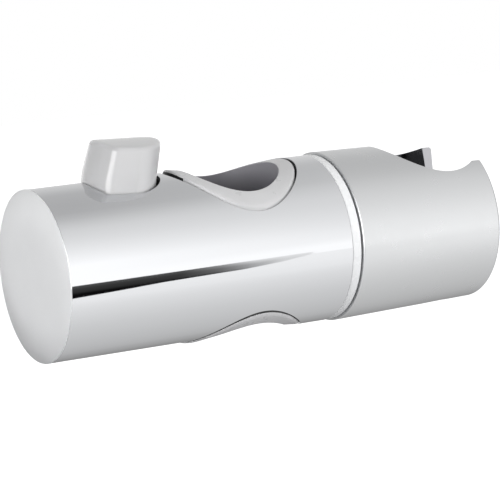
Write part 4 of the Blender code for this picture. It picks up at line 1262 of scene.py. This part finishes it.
def studio_world():
    """White round the camera's right, greying towards the ceiling and the back."""
    world = bpy.data.worlds.new("studio")
    world.use_nodes = True
    bpy.context.scene.world = world
    tree = world.node_tree
    tree.nodes.clear()
    height, side = studio_angles(tree)
    near_left, near_right = (
        add_node(tree, "ShaderNodeValToRGB", links={"Fac": height}, stops=greys).outputs["Color"]
        for greys in (WHITE_LEFT, WHITE_RIGHT)
    )
    across = add_node(
        tree,
        "ShaderNodeMapRange",
        values={"From Min": WHITE_CHANGE[0], "From Max": WHITE_CHANGE[1]},
        links={"Value": side},
    ).outputs["Result"]
    front = add_node(
        tree,
        "ShaderNodeMix",
        settings={"data_type": "RGBA"},
        links={"Factor": across, "A": near_left, "B": near_right},
    ).outputs["Result"]
    turn = add_node(
        tree, "ShaderNodeMapRange", values={"From Min": -1.0}, links={"Value": side}
    ).outputs["Result"]
    weight = add_node(
        tree, "ShaderNodeValToRGB", links={"Fac": turn}, stops=STUDIO_SIDES
    ).outputs["Color"]
    shade = add_node(
        tree,
        "ShaderNodeMix",
        settings={"data_type": "RGBA"},
        values={"A": STUDIO_GREY},
        links={"Factor": weight, "B": front},
    ).outputs["Result"]
    path = add_node(tree, "ShaderNodeLightPath")
    strength = add_node(
        tree,
        "ShaderNodeMapRange",
        values={"To Min": MATT_STRENGTH, "To Max": MIRRORED_STRENGTH},
        links={"Value": path.outputs["Is Glossy Ray"]},
    ).outputs["Result"]
    studio = add_node(
        tree, "ShaderNodeBackground", links={"Color": shade, "Strength": strength}
    ).outputs["Background"]
    white = add_node(
        tree, "ShaderNodeBackground", values={"Color": (1, 1, 1, 1), "Strength": 1.0}
    ).outputs["Background"]
    seen = add_node(
        tree,
        "ShaderNodeMixShader",
        links={"Fac": path.outputs["Is Camera Ray"], 1: studio, 2: white},
    ).outputs["Shader"]
    add_node(tree, "ShaderNodeOutputWorld", links={"Surface": seen})


def soft_light(name, place, size, power, mirrored=False, matt=True):
    """Rectangular light that faces the part, and shows in mirrors or lights matt surfaces."""
    data = bpy.data.lights.new(name, "AREA")
    data.shape = "RECTANGLE"
    data.size, data.size_y = size
    data.energy = power
    light = add_object(name, data)
    light.location = place
    light.rotation_euler = (-Vector(place)).to_track_quat("-Z", "Y").to_euler()
    light.visible_glossy = mirrored
    light.visible_diffuse = matt


FLAG_Y = -0.300
FLAG_TOP_Z = -0.026
FLAG_DARK_Z = -0.084
FLAG_LEFT_X, FLAG_TIP_X = 0.095, 0.157
# Outline of the flag's lower edge from left to right, as (x, z)
FLAG_EDGE = [
    (0.020, -0.150),
    (0.095, -0.101),
    (0.110, -0.088),
    (0.130, -0.082),
    (0.143, -0.079),
    (0.150, -0.071),
    (0.157, -0.064),
    (0.168, -0.040),
]
# Its greys from left to right along the lower edge and along the top, and how the first pass
# into the second on the way up
FLAG_LOW = [(0.0, 0.004), (0.56, 0.015), (0.67, 0.05), (0.77, 0.13), (0.89, 0.32), (1.0, 0.60)]
FLAG_HIGH = [(0.0, 0.09), (0.3, 0.10), (0.43, 0.22), (0.56, 0.36), (0.67, 0.6), (0.8, 0.85)]
FLAG_RISE = [(0.0, 0.0), (0.12, 0.15), (0.3, 0.3), (0.6, 0.42), (0.85, 0.75), (1.0, 1.0)]


def black_flag():
    """Dark card seen only in mirrors, glowing in painted greys that pale towards its tip, that
    draws the dark line along the tube.
    """
    bm = bmesh.new()
    outline = [(FLAG_EDGE[0][0], FLAG_TOP_Z), *FLAG_EDGE, (FLAG_EDGE[-1][0], FLAG_TOP_Z)]
    bm.faces.new([bm.verts.new((x, FLAG_Y, z)) for x, z in outline])
    mesh = mesh_from("black_flag", bm)
    # Dark studio card glowing in painted greys, greyer along its top and fading towards its tip
    material, tree, apart = studio_material("black_flag")
    share = add_node(
        tree,
        "ShaderNodeMapRange",
        values={"From Min": FLAG_LEFT_X, "From Max": FLAG_TIP_X},
        links={"Value": apart.outputs["X"]},
    ).outputs["Result"]
    up = add_node(
        tree,
        "ShaderNodeMapRange",
        values={"From Min": FLAG_DARK_Z, "From Max": FLAG_TOP_Z},
        links={"Value": apart.outputs["Z"]},
    ).outputs["Result"]
    rise, low, high = (
        add_node(tree, "ShaderNodeValToRGB", links={"Fac": place}, stops=stops).outputs["Color"]
        for place, stops in ((up, FLAG_RISE), (share, FLAG_LOW), (share, FLAG_HIGH))
    )
    shade = add_node(
        tree,
        "ShaderNodeMix",
        settings={"data_type": "RGBA"},
        links={"Factor": rise, "A": low, "B": high},
    ).outputs["Result"]
    card = add_node(
        tree, "ShaderNodeEmission", values={"Strength": MIRRORED_GAIN}, links={"Color": shade}
    ).outputs["Emission"]
    add_node(tree, "ShaderNodeOutputMaterial", links={"Surface": card})
    mesh.materials.append(material)
    flag = add_object("black_flag", mesh)
    flag.visible_camera = False
    flag.visible_diffuse = False
    flag.visible_shadow = False


studio_floor()
studio_world()
soft_light("left_softbox", (-0.62, -0.34, 0.26), (0.30, 0.6), 2.4)
# Seen only in reflections, along the lever's near corner
soft_light("left_sheen", (-0.57, -0.45, 0.18), (0.9, 0.6), 5.6, mirrored=True, matt=False)
soft_light("right_fill", (0.58, -0.58, 0.08), (0.4, 0.4), 2.3)
soft_light("front_fill", (-0.10, -0.75, 0.18), (0.4, 0.4), 0.8)
soft_light("back_fill", (-0.60, 0.35, 0.20), (0.4, 0.4), 0.3)
soft_light("top_softbox", (0.10, -0.15, 0.95), (0.9, 0.6), 0.2)
black_flag()
